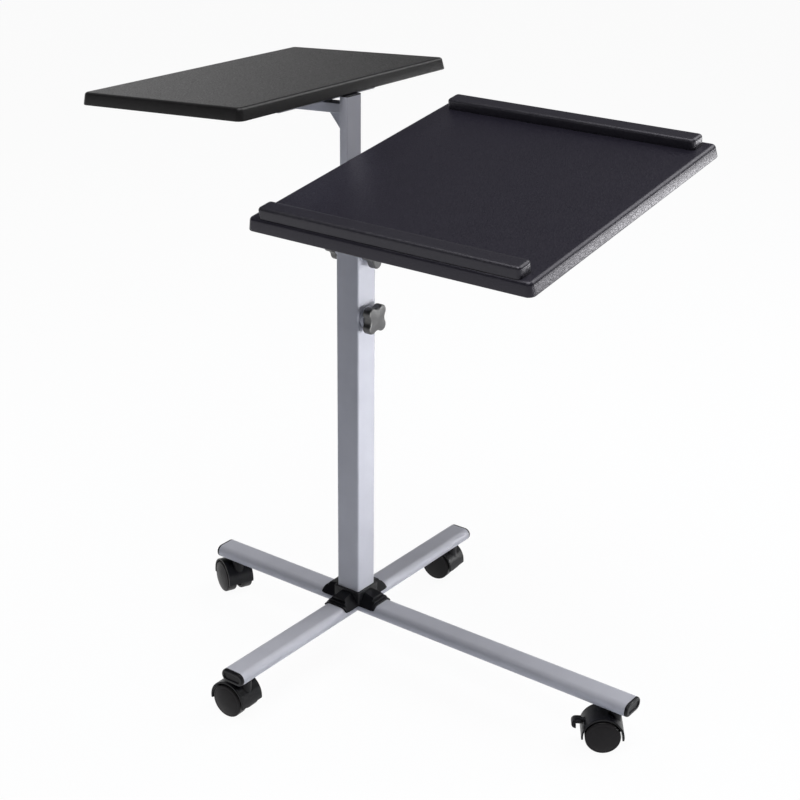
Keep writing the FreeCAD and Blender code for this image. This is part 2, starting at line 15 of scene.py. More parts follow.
import bpy
import numpy as np
from mathutils import Matrix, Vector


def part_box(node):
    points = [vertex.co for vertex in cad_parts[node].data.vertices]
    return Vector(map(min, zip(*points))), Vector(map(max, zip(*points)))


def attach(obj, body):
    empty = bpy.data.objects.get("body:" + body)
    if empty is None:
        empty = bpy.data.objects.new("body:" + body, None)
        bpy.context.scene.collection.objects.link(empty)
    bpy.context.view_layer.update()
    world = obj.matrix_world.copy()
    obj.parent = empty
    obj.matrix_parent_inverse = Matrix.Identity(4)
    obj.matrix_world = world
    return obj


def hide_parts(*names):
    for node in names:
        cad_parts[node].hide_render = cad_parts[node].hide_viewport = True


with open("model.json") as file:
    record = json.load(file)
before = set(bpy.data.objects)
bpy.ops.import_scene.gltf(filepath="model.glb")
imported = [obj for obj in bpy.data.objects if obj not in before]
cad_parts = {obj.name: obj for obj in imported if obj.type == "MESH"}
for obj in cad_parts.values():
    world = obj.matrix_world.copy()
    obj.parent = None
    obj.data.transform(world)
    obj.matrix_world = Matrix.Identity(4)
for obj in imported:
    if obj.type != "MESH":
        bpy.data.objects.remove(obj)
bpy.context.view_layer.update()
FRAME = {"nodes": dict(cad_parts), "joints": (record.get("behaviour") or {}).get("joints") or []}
LOG = logging.getLogger("projector_cart")

Array = np.ndarray
Node = bpy.types.Node
Socket = bpy.types.NodeSocket
Triple = tuple[float, float, float]
Section = Callable[[float], Array]

MM = 0.001
X_AXIS: Triple = (1.0, 0.0, 0.0)
Y_AXIS: Triple = (0.0, 1.0, 0.0)
Z_AXIS: Triple = (0.0, 0.0, 1.0)
EVEN: Triple = (1.0, 1.0, 1.0)

# Busy middle of a noise, rubbed patches to the metre, and places of the Mix node's colour sockets
NOISE_ENDS = (0.3, 0.7)
PATCH_SCALE = 160.0
PATCH_OCTAVES = 3.0
MIX_SHARE, MIX_FROM, MIX_TO, MIX_COLOR = 0, 6, 7, 2

# Limits and measures shared by the surfaces
TINY = 1e-6
LEAST_RADIUS = 0.02 * MM
LEAST_CORNER = 0.05 * MM
RUB_REACH = 6.0 * MM
CREASE = math.radians(40.0)
BEAD_PITCH = 2.2 * MM
BEAD_SWELL = 0.1

# Points or steps along curves
BEAD_SIDES = 10
BEAD_STEPS = 60
SCREW_STEPS = 8
CROWN_STEPS = 10
HOOD_TURN_STEPS = (4, 8, 29)
HOOD_WIDTH_STEPS = (5, 3, 5)
WEB_STEPS = 180
WHEEL_STEPS = 72
DOME_STEPS = 40
REACH_STEPS = 12
CURL_STEPS = 15


class Slot(Enum):
    """Material slots of the record."""

    SILVER_PAINT = "silver_paint"
    BLACK_PLASTIC = "black_plastic"
    KNOB_PLASTIC = "knob_plastic"
    WHEEL_PLASTIC = "wheel_plastic"
    UPPER_FOIL = "upper_board_foil"
    MAIN_FOIL = "main_board_foil"
    LIP_FOIL = "lip_foil"
    BLACK_PAINT = "black_paint"
    PLATED_STEEL = "plated_steel"


class Arm(Enum):
    """Directions of the base arms, in degrees about Z from the long arm."""

    FRONT = 0.0
    RIGHT = 90.0
    REAR = 180.0
    LEFT = 270.0


# Shader graphs and finishes


class ShaderGraph:
    """Adds and wires the shader nodes of one material or world."""

    def __init__(self, owner: bpy.types.Material | bpy.types.World) -> None:
        """Turn on the owner's nodes and take up their tree."""
        owner.use_nodes = True
        self.tree = owner.node_tree

    def feed(self, node: Node, sockets: dict[str | int, object]) -> None:
        """Wire outputs to a node's inputs, or set the inputs' own values.

        Args:
            node: Node that owns the inputs.
            sockets: Output socket or plain value for each input, by its name or place.
        """
        for key, value in sockets.items():
            if isinstance(value, Socket):
                self.tree.links.new(value, node.inputs[key])
            else:
                node.inputs[key].default_value = value

    def add(self, kind: str, sockets: dict[str | int, object], **settings: object) -> Node:
        """Add a node with its inputs fed.

        Args:
            kind: Node type without its "ShaderNode" prefix.
            sockets: Output socket or plain value for each input.
            settings: Properties of the node itself.

        Returns:
            The new node.
        """
        node = self.tree.nodes.new("ShaderNode" + kind)
        for key, value in settings.items():
            setattr(node, key, value)
        self.feed(node, sockets)
        return node

    def math(self, operation: str, *values: Socket | float) -> Socket:
        """Result of a math node whose inputs are the values in order."""
        return self.add("Math", dict(enumerate(values)), operation=operation).outputs[0]

    def spot(self, stretch: Triple = EVEN) -> Socket:
        """Object coordinates scaled by a stretch along X, Y and Z."""
        place = self.add("TexCoord", {}).outputs["Object"]
        return self.add("Mapping", {"Vector": place, "Scale": stretch}).outputs["Vector"]

    def noise(self, spot: Socket, scale: float, octaves: float) -> Socket:
        """Cloudy noise with so many clouds to the metre."""
        return self.add("TexNoise", {"Vector": spot, "Scale": scale, "Detail": octaves}).outputs["Fac"]

    def span(self, value: Socket, low: float, high: float, ends: tuple[float, float] = NOISE_ENDS) -> Socket:
        """Map a value between two ends, by default the busy middle of a noise, onto a range."""
        sockets = {"Value": value, "From Min": ends[0], "From Max": ends[1], "To Min": low, "To Max": high}
        return self.add("MapRange", sockets).outputs["Result"]

    def tones(self, value: Socket, dark: Triple, light: Triple) -> Socket:
        """Ramp between two tones over the busy middle of a noise.

        Args:
            value: Noise value.
            dark: Tone at the low end.
            light: Tone at the high end.

        Returns:
            The colour socket.
        """
        ramp = self.add("ValToRGB", {"Fac": value})
        for stop, place, tone in zip(ramp.color_ramp.elements, NOISE_ENDS, (dark, light)):
            stop.position = place
            stop.color = (*tone, 1.0)
        return ramp.outputs["Color"]

    def rubbed(self, color: Socket, rub: Triple, amount: float) -> Socket:
        """Blend in patches towards a rubbed tone, where the surface's own rub value says so.

        Args:
            color: Colour of the untouched surface.
            rub: Tone of the rubbed surface.
            amount: Strength where the rub value is one.

        Returns:
            The colour socket.
        """
        worn = self.add("Attribute", {}, attribute_name="rub").outputs["Fac"]
        patches = self.span(self.noise(self.spot(), PATCH_SCALE, PATCH_OCTAVES), 0.0, amount)
        sockets = {MIX_SHARE: self.math("MULTIPLY", worn, patches), MIX_FROM: color, MIX_TO: (*rub, 1.0)}
        return self.add("Mix", sockets, data_type="RGBA").outputs[MIX_COLOR]

    def bump(self, height: Socket, depth: float, **below: Socket) -> Socket:
        """Normal of a relief that is so many metres deep, over the Normal of an earlier one."""
        sockets = {"Height": height, "Distance": depth, "Strength": 1.0, **below}
        return self.add("Bump", sockets).outputs["Normal"]


@dataclass(frozen=True)
class Finish:
    """A finish with two tones, a roughness range, soft waviness, fine grain and rubbed edges.

    Scales are in features to the metre, and depths are in metres.
    """

    dark: Triple
    light: Triple
    rough_low: float
    rough_high: float
    metallic: float = 0.0
    specular: float = 0.5
    tint: Triple = EVEN
    cloud_scale: float = 30.0
    cloud_octaves: float = 5.0
    smear_scale: float = 90.0
    smear_octaves: float = 4.0
    wave_scale: float = 240.0
    wave_depth: float = 0.03 * MM
    grain_scale: float = 1600.0
    grain_depth: float = 0.03 * MM
    grain_stretch: Triple = EVEN
    grain_share: float = 0.35
    fine_octaves: float = 2.0
    rub: Triple = (0.2, 0.2, 0.2)
    rub_amount: float = 0.0

    def material(self, name: str) -> bpy.types.Material:
        """Make the material: clouds and grain choose the tone, smears the roughness.

        Args:
            name: Name of the material.

        Returns:
            The material.
        """
        material = bpy.data.materials.new(name)
        graph = ShaderGraph(material)
        fine = graph.spot(self.grain_stretch)
        grain = self.grain(graph, fine)
        clouds = graph.noise(graph.spot(), self.cloud_scale, self.cloud_octaves)
        cloudy = graph.math("MULTIPLY", clouds, 1.0 - self.grain_share)
        mottle = graph.math("MULTIPLY_ADD", grain, self.grain_share, cloudy)
        color = graph.tones(mottle, self.dark, self.light)
        if self.rub_amount > 0.0:
            color = graph.rubbed(color, self.rub, self.rub_amount)
        smears = graph.noise(graph.spot(), self.smear_scale, self.smear_octaves)
        waves = graph.bump(graph.noise(fine, self.wave_scale, self.fine_octaves), self.wave_depth)
        graph.feed(graph.tree.nodes["Principled BSDF"], {
            "Base Color": color,
            "Roughness": graph.span(smears, self.rough_low, self.rough_high),
            "Metallic": self.metallic,
            "Specular IOR Level": self.specular,
            "Specular Tint": (*self.tint, 1.0),
            "Normal": graph.bump(grain, self.grain_depth, Normal=waves),
        })
        return material

    def grain(self, graph: ShaderGraph, fine: Socket) -> Socket:
        """Height of the fine grain."""
        return graph.noise(fine, self.grain_scale, self.fine_octaves)


@dataclass(frozen=True)
class PebbledFoil(Finish):
    """Board foil pressed with a pebbled grain whose shine changes from speck to speck."""

    tint: Triple = (0.93, 0.90, 1.0)
    smear_scale: float = 480.0
    grain_scale: float = 1100.0
    grain_depth: float = 0.08 * MM
    rub: Triple = (0.06, 0.06, 0.06)
    rub_amount: float = 0.2

    def grain(self, graph: ShaderGraph, fine: Socket) -> Socket:
        """Height of the pebbles: the mean of the distance in a cell and of crumbs half as wide.

        Args:
            graph: Graph to add the nodes to.
            fine: Coordinates.

        Returns:
            The height socket.
        """
        cells = graph.add("TexVoronoi", {"Vector": fine, "Scale": self.grain_scale}).outputs["Distance"]
        crumbs = graph.noise(fine, 2.0 * self.grain_scale, self.fine_octaves)
        return graph.math("MULTIPLY", graph.math("ADD", cells, crumbs), 0.5)


FINISHES: dict[Slot, Finish] = {
    Slot.SILVER_PAINT: Finish((0.44, 0.446, 0.502), (0.49, 0.496, 0.552), 0.36, 0.46, specular=0.45,
                              grain_scale=2200.0, grain_depth=0.02 * MM),
    Slot.BLACK_PLASTIC: Finish((0.004, 0.004, 0.0055), (0.008, 0.008, 0.0105), 0.30, 0.42, specular=0.2,
                               rub=(0.08, 0.08, 0.085), rub_amount=0.3),
    Slot.KNOB_PLASTIC: Finish((0.012, 0.012, 0.014), (0.019, 0.019, 0.021), 0.36, 0.46, specular=0.95,
                              rub=(0.10, 0.10, 0.10), rub_amount=0.5),
    Slot.WHEEL_PLASTIC: Finish((0.007, 0.006, 0.007), (0.012, 0.0105, 0.012), 0.34, 0.48, specular=0.18,
                               rub=(0.05, 0.047, 0.045), rub_amount=0.6),
    Slot.UPPER_FOIL: PebbledFoil((0.0044, 0.0040, 0.0044), (0.0058, 0.0052, 0.0058), 0.29, 0.47,
                                 specular=0.29, tint=EVEN, grain_depth=0.10 * MM),
    Slot.MAIN_FOIL: PebbledFoil((0.0082, 0.0072, 0.0128), (0.0098, 0.0086, 0.0150), 0.27, 0.48,
                                specular=0.44),
    Slot.LIP_FOIL: PebbledFoil((0.0105, 0.0097, 0.0145), (0.0125, 0.0116, 0.0170), 0.33, 0.45,
                               specular=0.45, rub=(0.07, 0.07, 0.07), rub_amount=0.3),
    Slot.BLACK_PAINT: Finish((0.008, 0.008, 0.008), (0.014, 0.014, 0.014), 0.34, 0.5, specular=0.3),
    Slot.PLATED_STEEL: Finish((0.42, 0.42, 0.43), (0.58, 0.58, 0.60), 0.22, 0.38, metallic=1.0,
                              grain_stretch=(1.0, 1.0, 0.1)),
}


@cache
def finish_of(slot: Slot) -> bpy.types.Material:
    """Material of a slot, made when first asked for."""
    return FINISHES[slot].material(slot.value + "_finish")


def dress(slot: Slot, *nodes: str) -> None:
    """Give CAD nodes the material of a slot.

    Args:
        slot: Slot of the record.
        nodes: Names of the nodes.
    """
    for name in nodes:
        for place in FRAME["nodes"][name].material_slots:
            place.material = finish_of(slot)
        LOG.info("dressed %s as %s", name, slot.value)


# Axes, outlines and surfaces


@dataclass(frozen=True)
class Axes:
    """Right-handed axes u, v, w with an origin, in the row frame."""

    origin: Array
    u: Array
    v: Array
    w: Array

    def place(self, local: Array) -> Array:
        """Points of the row frame, from points whose last dimension is (u, v, w)."""
        return self.origin + local @ np.stack([self.u, self.v, self.w])

    def moved(self, u: float, v: float, w: float) -> Axes:
        """The same axes with the origin shifted along them."""
        return Axes(self.place(np.array([u, v, w])), self.u, self.v, self.w)

    def matrix(self) -> Matrix:
        """World matrix of an object whose local X, Y and Z are the axes."""
        rows = np.column_stack([self.u, self.v, self.w, self.origin]).tolist()
        return Matrix([*rows, (0.0, 0.0, 0.0, 1.0)])

    def measure(self, node: str) -> tuple[Array, Array]:
        """Lowest and highest corner of a CAD node along the axes.

        Args:
            node: Name of the node.

        Returns:
            The two corners.
        """
        vertices = FRAME["nodes"][node].data.vertices
        points = np.empty(3 * len(vertices))
        vertices.foreach_get("co", points)
        local = (points.reshape(-1, 3) - self.origin) @ np.stack([self.u, self.v, self.w]).T
        return local.min(axis=0), local.max(axis=0)


def axes_from(origin: Sequence[float], u: Sequence[float], w: Sequence[float]) -> Axes:
    """Axes from an origin and two square directions, with v = w x u."""
    first, third = (np.array(way, float) / np.linalg.norm(way) for way in (u, w))
    return Axes(np.array(origin, float), first, np.cross(third, first), third)


@dataclass(frozen=True)
class RoundedRectangle:
    """Rectangle outline with quarter-circle corners, run counter-clockwise."""

    width: float
    depth: float
    corner: float
    steps: int = 9

    def __call__(self, inset: float) -> Array:
        """Outline drawn in by an inset: corner k is its centre plus r (cos t, sin t), t over 90 degrees.

        Args:
            inset: Distance inwards.

        Returns:
            Array of points (4 * steps, 2).
        """
        radius = max(self.corner - inset, LEAST_CORNER)
        half_u = self.width / 2 - inset - radius
        half_v = self.depth / 2 - inset - radius
        angle = np.pi / 2 * (np.arange(4)[:, None] + np.linspace(0.0, 1.0, self.steps))
        u = np.array([[1], [-1], [-1], [1]]) * half_u + radius * np.cos(angle)
        v = np.array([[1], [1], [-1], [-1]]) * half_v + radius * np.sin(angle)
        return np.column_stack([u.ravel(), v.ravel()])


@dataclass(frozen=True)
class Polar:
    """Outline given as a radius over the angle, and turned about its middle."""

    turn: float = field(default=0.0, kw_only=True)
    steps: int = field(default=48, kw_only=True)

    def reach(self, angle: Array, inset: float) -> Array | float:
        """Radius at some angles of the outline drawn in by an inset."""
        raise NotImplementedError

    def __call__(self, inset: float) -> Array:
        """Outline drawn in by an inset: r (cos t, sin t) at even angles t.

        Args:
            inset: Distance inwards.

        Returns:
            Array of points (steps, 2).
        """
        angle = np.linspace(0.0, 2 * np.pi, self.steps, endpoint=False)
        turned = angle + self.turn
        return (self.reach(angle, inset) * np.array([np.cos(turned), np.sin(turned)])).T


@dataclass(frozen=True)
class Circle(Polar):
    """Circle outline."""

    radius: float

    def reach(self, angle: Array, inset: float) -> float:
        """The radius less the inset, at every angle."""
        return max(self.radius - inset, LEAST_RADIUS)


@dataclass(frozen=True)
class Hexagon(Polar):
    """Hexagon outline given by its width across the flats."""

    flats: float

    def reach(self, angle: Array, inset: float) -> Array:
        """Half the width over the cosine of the angle from the middle of the flat."""
        away = (angle + math.pi / 6) % (math.pi / 3) - math.pi / 6
        return max(self.flats / 2 - inset, LEAST_RADIUS) / np.cos(away)


@dataclass(frozen=True)
class Lobed(Polar):
    """Four round lobes joined by tangent hollow arcs."""

    lobe_offset: float
    lobe_radius: float
    valley_offset: float
    steps: int = field(default=128, kw_only=True)

    def reach(self, angle: Array, inset: float) -> Array:
        """Radius over the lobes and through the valleys between them.

        Near a lobe, r = d cos a + sqrt(p^2 - d^2 sin^2 a) with the lobe's radius p less the inset.
        In a valley, r = e cos b - sqrt(q^2 - e^2 sin^2 b) with the valley's radius q plus the inset.

        Args:
            angle: Angles about the middle.
            inset: Distance inwards.

        Returns:
            Array of radii.
        """
        d, e, slant = self.lobe_offset, self.valley_offset, math.pi / 4
        gap = math.sqrt(d * d + e * e - 2 * d * e * math.cos(slant))
        lobe = self.lobe_radius - inset
        valley = gap - lobe
        meet_u = d + (e * math.cos(slant) - d) * lobe / gap
        meet_v = e * math.sin(slant) * lobe / gap
        a = np.abs((angle + slant) % (2 * slant) - slant)
        b = slant - a
        near = d * np.cos(a) + np.sqrt(np.maximum(lobe ** 2 - (d * np.sin(a)) ** 2, 0.0))
        hollow = e * np.cos(b) - np.sqrt(np.maximum(valley ** 2 - (e * np.sin(b)) ** 2, 0.0))
        return np.where(a <= math.atan2(meet_v, meet_u), near, hollow)


@dataclass
class Skin:
    """A closed surface in arrays: points, faces and a rub value from 0 to 1 at each point."""

    points: Array
    faces: list[list[int]]
    rub: Array

    def outward(self) -> Skin:
        """The same surface with its faces turned outwards.

        The signed volume, times 6, is the sum of p0 . (p1 x p2) over the triangles of each face's fan.

        Returns:
            The surface.
        """
        volume = 0.0
        for size in {len(face) for face in self.faces}:
            corners = self.points[np.array([face for face in self.faces if len(face) == size])]
            volume += float(np.sum(corners[:, :1] * np.cross(corners[:, 1:-1], corners[:, 2:])))
        if volume >= 0.0:
            return self
        return Skin(self.points, [face[::-1] for face in self.faces], self.rub)


def grid(x: Array, y: Array, z: Array) -> Array:
    """Points whose three coordinates are broadcast together."""
    return np.stack(np.broadcast_arrays(x, y, z), axis=-1)


def stations(ends: Sequence[float], steps: Sequence[int]) -> Array:
    """Values through the ends in order, with so many equal steps between each two."""
    runs = [np.linspace(*pair, count, endpoint=False) for *pair, count in zip(ends, ends[1:], steps)]
    return np.concatenate([*runs, ends[-1:]])


def ring_skin(rings: Array, looped: bool = False, rub: Array | None = None) -> Skin:
    """Surface through a stack of rings, shut by flat caps or by joining the last ring to the first.

    Args:
        rings: Array (rings, points around, 3).
        looped: Whether the last ring joins the first.
        rub: Rub value of each ring.

    Returns:
        The closed surface.
    """
    count, around = rings.shape[:2]
    index = np.arange(count * around).reshape(count, around)
    below, above = (index, np.roll(index, -1, axis=0)) if looped else (index[:-1], index[1:])
    corners = [below, np.roll(below, -1, axis=1), np.roll(above, -1, axis=1), above]
    faces = np.stack(corners, axis=-1).reshape(-1, 4).tolist()
    if not looped:
        faces += [index[0, ::-1].tolist(), index[-1].tolist()]
    worn = np.zeros(count) if rub is None else rub
    return Skin(rings.reshape(-1, 3), faces, np.repeat(worn, around)).outward()


def profile_rings(section: Section, profile: Array, axes: Axes) -> Array:
    """Rings section(profile[k, 0]) in u and v, each at profile[k, 1] along w."""
    flat = np.stack([section(value) for value in profile[:, 0]])
    return axes.place(grid(flat[..., 0], flat[..., 1], profile[:, 1:]))


def arc(center: tuple[float, float], radius: float, start: float, end: float, steps: int = 6) -> Array:
    """Points center + radius (cos t, sin t) of a profile, with t in degrees from start to end."""
    angle = np.radians(np.linspace(start, end, steps))
    return np.column_stack([center[0] + radius * np.cos(angle), center[1] + radius * np.sin(angle)])


def slab_profile(thickness: float, low_round: float, high_round: float, lean: float = 0.0,
                 margin: float = 2.0 * MM) -> Array:
    """Edge of a slab as (inset, height): flat below, a leaning side between two rounds, flat on top.

    The side runs from (0, 0) to (lean, thickness), so with tan(f) = lean / thickness a round of radius r at
    the height h of its middle sits at inset (r + h sin f) / cos f.

    Args:
        thickness: Height of the slab.
        low_round: Radius of the lower edge.
        high_round: Radius of the upper edge.
        lean: How far the side leans in on its way up.
        margin: Width of the flat kept inside each round.

    Returns:
        Array of (inset, height).
    """
    slope = math.atan2(lean, thickness)
    side = 180.0 - math.degrees(slope)
    top = thickness - high_round
    low_inset = (low_round + low_round * math.sin(slope)) / math.cos(slope)
    high_inset = (high_round + top * math.sin(slope)) / math.cos(slope)
    low = arc((low_inset, low_round), low_round, 270.0, side)
    high = arc((high_inset, top), high_round, side, 90.0, steps=8)
    return np.concatenate([[[low_inset + margin, 0.0]], low, high, [[high_inset + margin, thickness]]])


def edge_rub(profile: Array, thickness: float) -> Array:
    """Rub value that peaks on a slab's upper edge: 1 - (distance from the corner) / reach."""
    away = np.hypot(profile[:, 0], profile[:, 1] - thickness)
    return np.clip(1.0 - away / RUB_REACH, 0.0, 1.0)


def join(skins: Sequence[Skin]) -> Skin:
    """Several closed surfaces as one.

    Args:
        skins: The surfaces.

    Returns:
        One surface that holds them all.
    """
    starts = np.cumsum([0] + [len(skin.points) for skin in skins])
    faces = [[int(i + start) for i in face] for skin, start in zip(skins, starts) for face in skin.faces]
    points = np.concatenate([skin.points for skin in skins])
    return Skin(points, faces, np.concatenate([skin.rub for skin in skins]))


def shell_skin(outer: Array, inner: Array, keep: Array) -> Skin:
    """Walled shell between two grids of points, with some cells left out as openings.

    Args:
        outer: Array (rows, columns, 3) of the outer face.
        inner: Array of the same shape for the inner face.
        keep: Array (rows - 1, columns - 1) that is true where the wall stands.

    Returns:
        The closed surface, with only the points in use.
    """
    rows, columns = outer.shape[:2]
    total = rows * columns
    index = np.arange(total).reshape(rows, columns)
    a, b, c, d = index[:-1, :-1], index[1:, :-1], index[1:, 1:], index[:-1, 1:]
    faces = [np.stack([a, b, c, d], axis=-1)[keep], np.stack([a, d, c, b], axis=-1)[keep] + total]
    padded = np.pad(keep, 1)
    sides = (
        (a, b, padded[1:-1, :-2]),
        (b, c, padded[2:, 1:-1]),
        (c, d, padded[1:-1, 2:]),
        (d, a, padded[:-2, 1:-1]),
    )
    for first, second, neighbour in sides:
        wall = np.stack([second, first, first + total, second + total], axis=-1)
        faces.append(wall[keep & ~neighbour])
    used, compact = np.unique(np.concatenate(faces), return_inverse=True)
    points = np.concatenate([outer.reshape(-1, 3), inner.reshape(-1, 3)])[used]
    return Skin(points, compact.reshape(-1, 4).tolist(), np.zeros(len(used))).outward()


def add_piece(name: str, skin: Skin, slot: Slot, body: str, *replaces: str, soften: float = 0.0) -> None:
    """Make a mesh object from a surface and tie it to its body.

    Args:
        name: Name of the piece.
        skin: Its surface.
        slot: Material slot it takes its finish from.
        body: CAD body it moves with.
        replaces: CAD nodes it stands for.
        soften: Width of a bevel on the sharp edges.
    """
    mesh = bpy.data.meshes.new(name)
    mesh.from_pydata(skin.points.tolist(), [], skin.faces)
    mesh.update()
    mesh.polygons.foreach_set("use_smooth", np.ones(len(mesh.polygons), bool))
    mesh.set_sharp_from_angle(angle=CREASE)
    mesh.attributes.new("rub", "FLOAT", "POINT").data.foreach_set("value", skin.rub.astype(np.float32))
    mesh.materials.append(finish_of(slot))
    piece = bpy.data.objects.new(name, mesh)
    bpy.context.scene.collection.objects.link(piece)
    if soften > 0.0:
        bevel = piece.modifiers.new("soft_edges", "BEVEL")
        bevel.width = soften
        bevel.segments = 2
        bevel.limit_method = "ANGLE"
        bevel.angle_limit = CREASE
    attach(piece, body)
    if replaces:
        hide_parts(*replaces)
    LOG.info("%s: %d points on %s", name, len(skin.points), body)


def joint(name: str) -> dict:
    """Joint of the frame by name."""
    return next(j for j in FRAME["joints"] if j["name"] == name)


def middle(node: str) -> Array:
    """Middle of a CAD node's box."""
    low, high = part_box(node)
    return (np.array(low) + np.array(high)) / 2


# Fasteners and welds


@dataclass(frozen=True)
class ButtonScrew:
    """Button-head screw with a hexagon socket, of which the head shows."""

    radius: float = 4.75 * MM
    height: float = 2.6 * MM
    socket: float = 3.0 * MM
    socket_floor: float = 0.3
    crest: float = 58.0

    def skin(self, seat: Axes) -> Skin:
        """Head on its seat: r = R cos t and z = h sin t / sin(crest) up the dome, then down into the socket.

        Args:
            seat: Axes on the seat, with w away from it.

        Returns:
            The head's surface.
        """
        t = np.radians(np.linspace(0.0, self.crest, SCREW_STEPS))
        dome = np.column_stack([self.radius * (1 - np.cos(t)), self.height * np.sin(t) / np.sin(t[-1])])
        recess = self.height * np.array([[0.0, 1.0], [0.0, self.socket_floor]])
        shapes = ((Circle(self.radius), dome), (Hexagon(self.socket), recess))
        return ring_skin(np.concatenate([profile_rings(*shape, seat) for shape in shapes]))


def screw_heads(axes: Axes, along: Sequence[float], across: Sequence[float], under: float) -> Skin:
    """Button heads below a plate's underside, at each pair of places along u and v."""
    seats = [axes_from(axes.place(np.array([u, v, under])), axes.u, -axes.w) for u in along for v in across]
    return join([ButtonScrew().skin(seat) for seat in seats])


@dataclass(frozen=True)
class HexBolt:
    """Hexagon bolt head on a round washer."""

    flats: float = 13.0 * MM
    height: float = 5.3 * MM
    chamfer: float = 0.7 * MM
    chamfer_inset: float = 1.12 * MM
    washer_radius: float = 9.0 * MM
    washer: float = 1.6 * MM
    washer_edge: float = 0.2 * MM

    def skin(self, seat: Axes) -> Skin:
        """Washer and chamfered head stacked on the seat.

        Args:
            seat: Axes on the seat, with w away from it.

        Returns:
            The surface of both.
        """
        edge = self.washer_edge
        washer = np.array([[0.0, 0.0], [0.0, self.washer - edge], [edge, self.washer]])
        heights = self.washer + np.array([0.0, self.height - self.chamfer, self.height])
        head = np.column_stack([[0.0, 0.0, self.chamfer_inset], heights])
        shapes = ((Circle(self.washer_radius), washer), (Hexagon(self.flats), head))
        return join([ring_skin(profile_rings(*shape, seat)) for shape in shapes])


def bead(path: Array, square: Sequence[float], radius: float, looped: bool = False) -> Skin:
    """Weld bead: circles of radius r (1 + swell cos(2 pi s / pitch)) square to a path, with s along it.

    Args:
        path: Array (points, 3).
        square: Direction square to the path everywhere.
        radius: Mean radius of the bead.
        looped: Whether the path closes on itself.

    Returns:
        The bead's surface.
    """
    ahead = np.roll(path, -1, axis=0) - np.roll(path, 1, axis=0) if looped else np.gradient(path, axis=0)
    across = np.cross(ahead / np.linalg.norm(ahead, axis=1, keepdims=True), square)
    along = np.concatenate([[0.0], np.cumsum(np.linalg.norm(np.diff(path, axis=0), axis=1))])
    swell = radius * (1 + BEAD_SWELL * np.cos(2 * np.pi * along / BEAD_PITCH))
    angle = np.linspace(0.0, 2 * np.pi, BEAD_SIDES, endpoint=False)[None, :, None]
    ring = np.cos(angle) * across[:, None] + np.sin(angle) * np.array(square, float)
    return ring_skin(path[:, None] + swell[:, None, None] * ring, looped)


# The cart's sub-assemblies


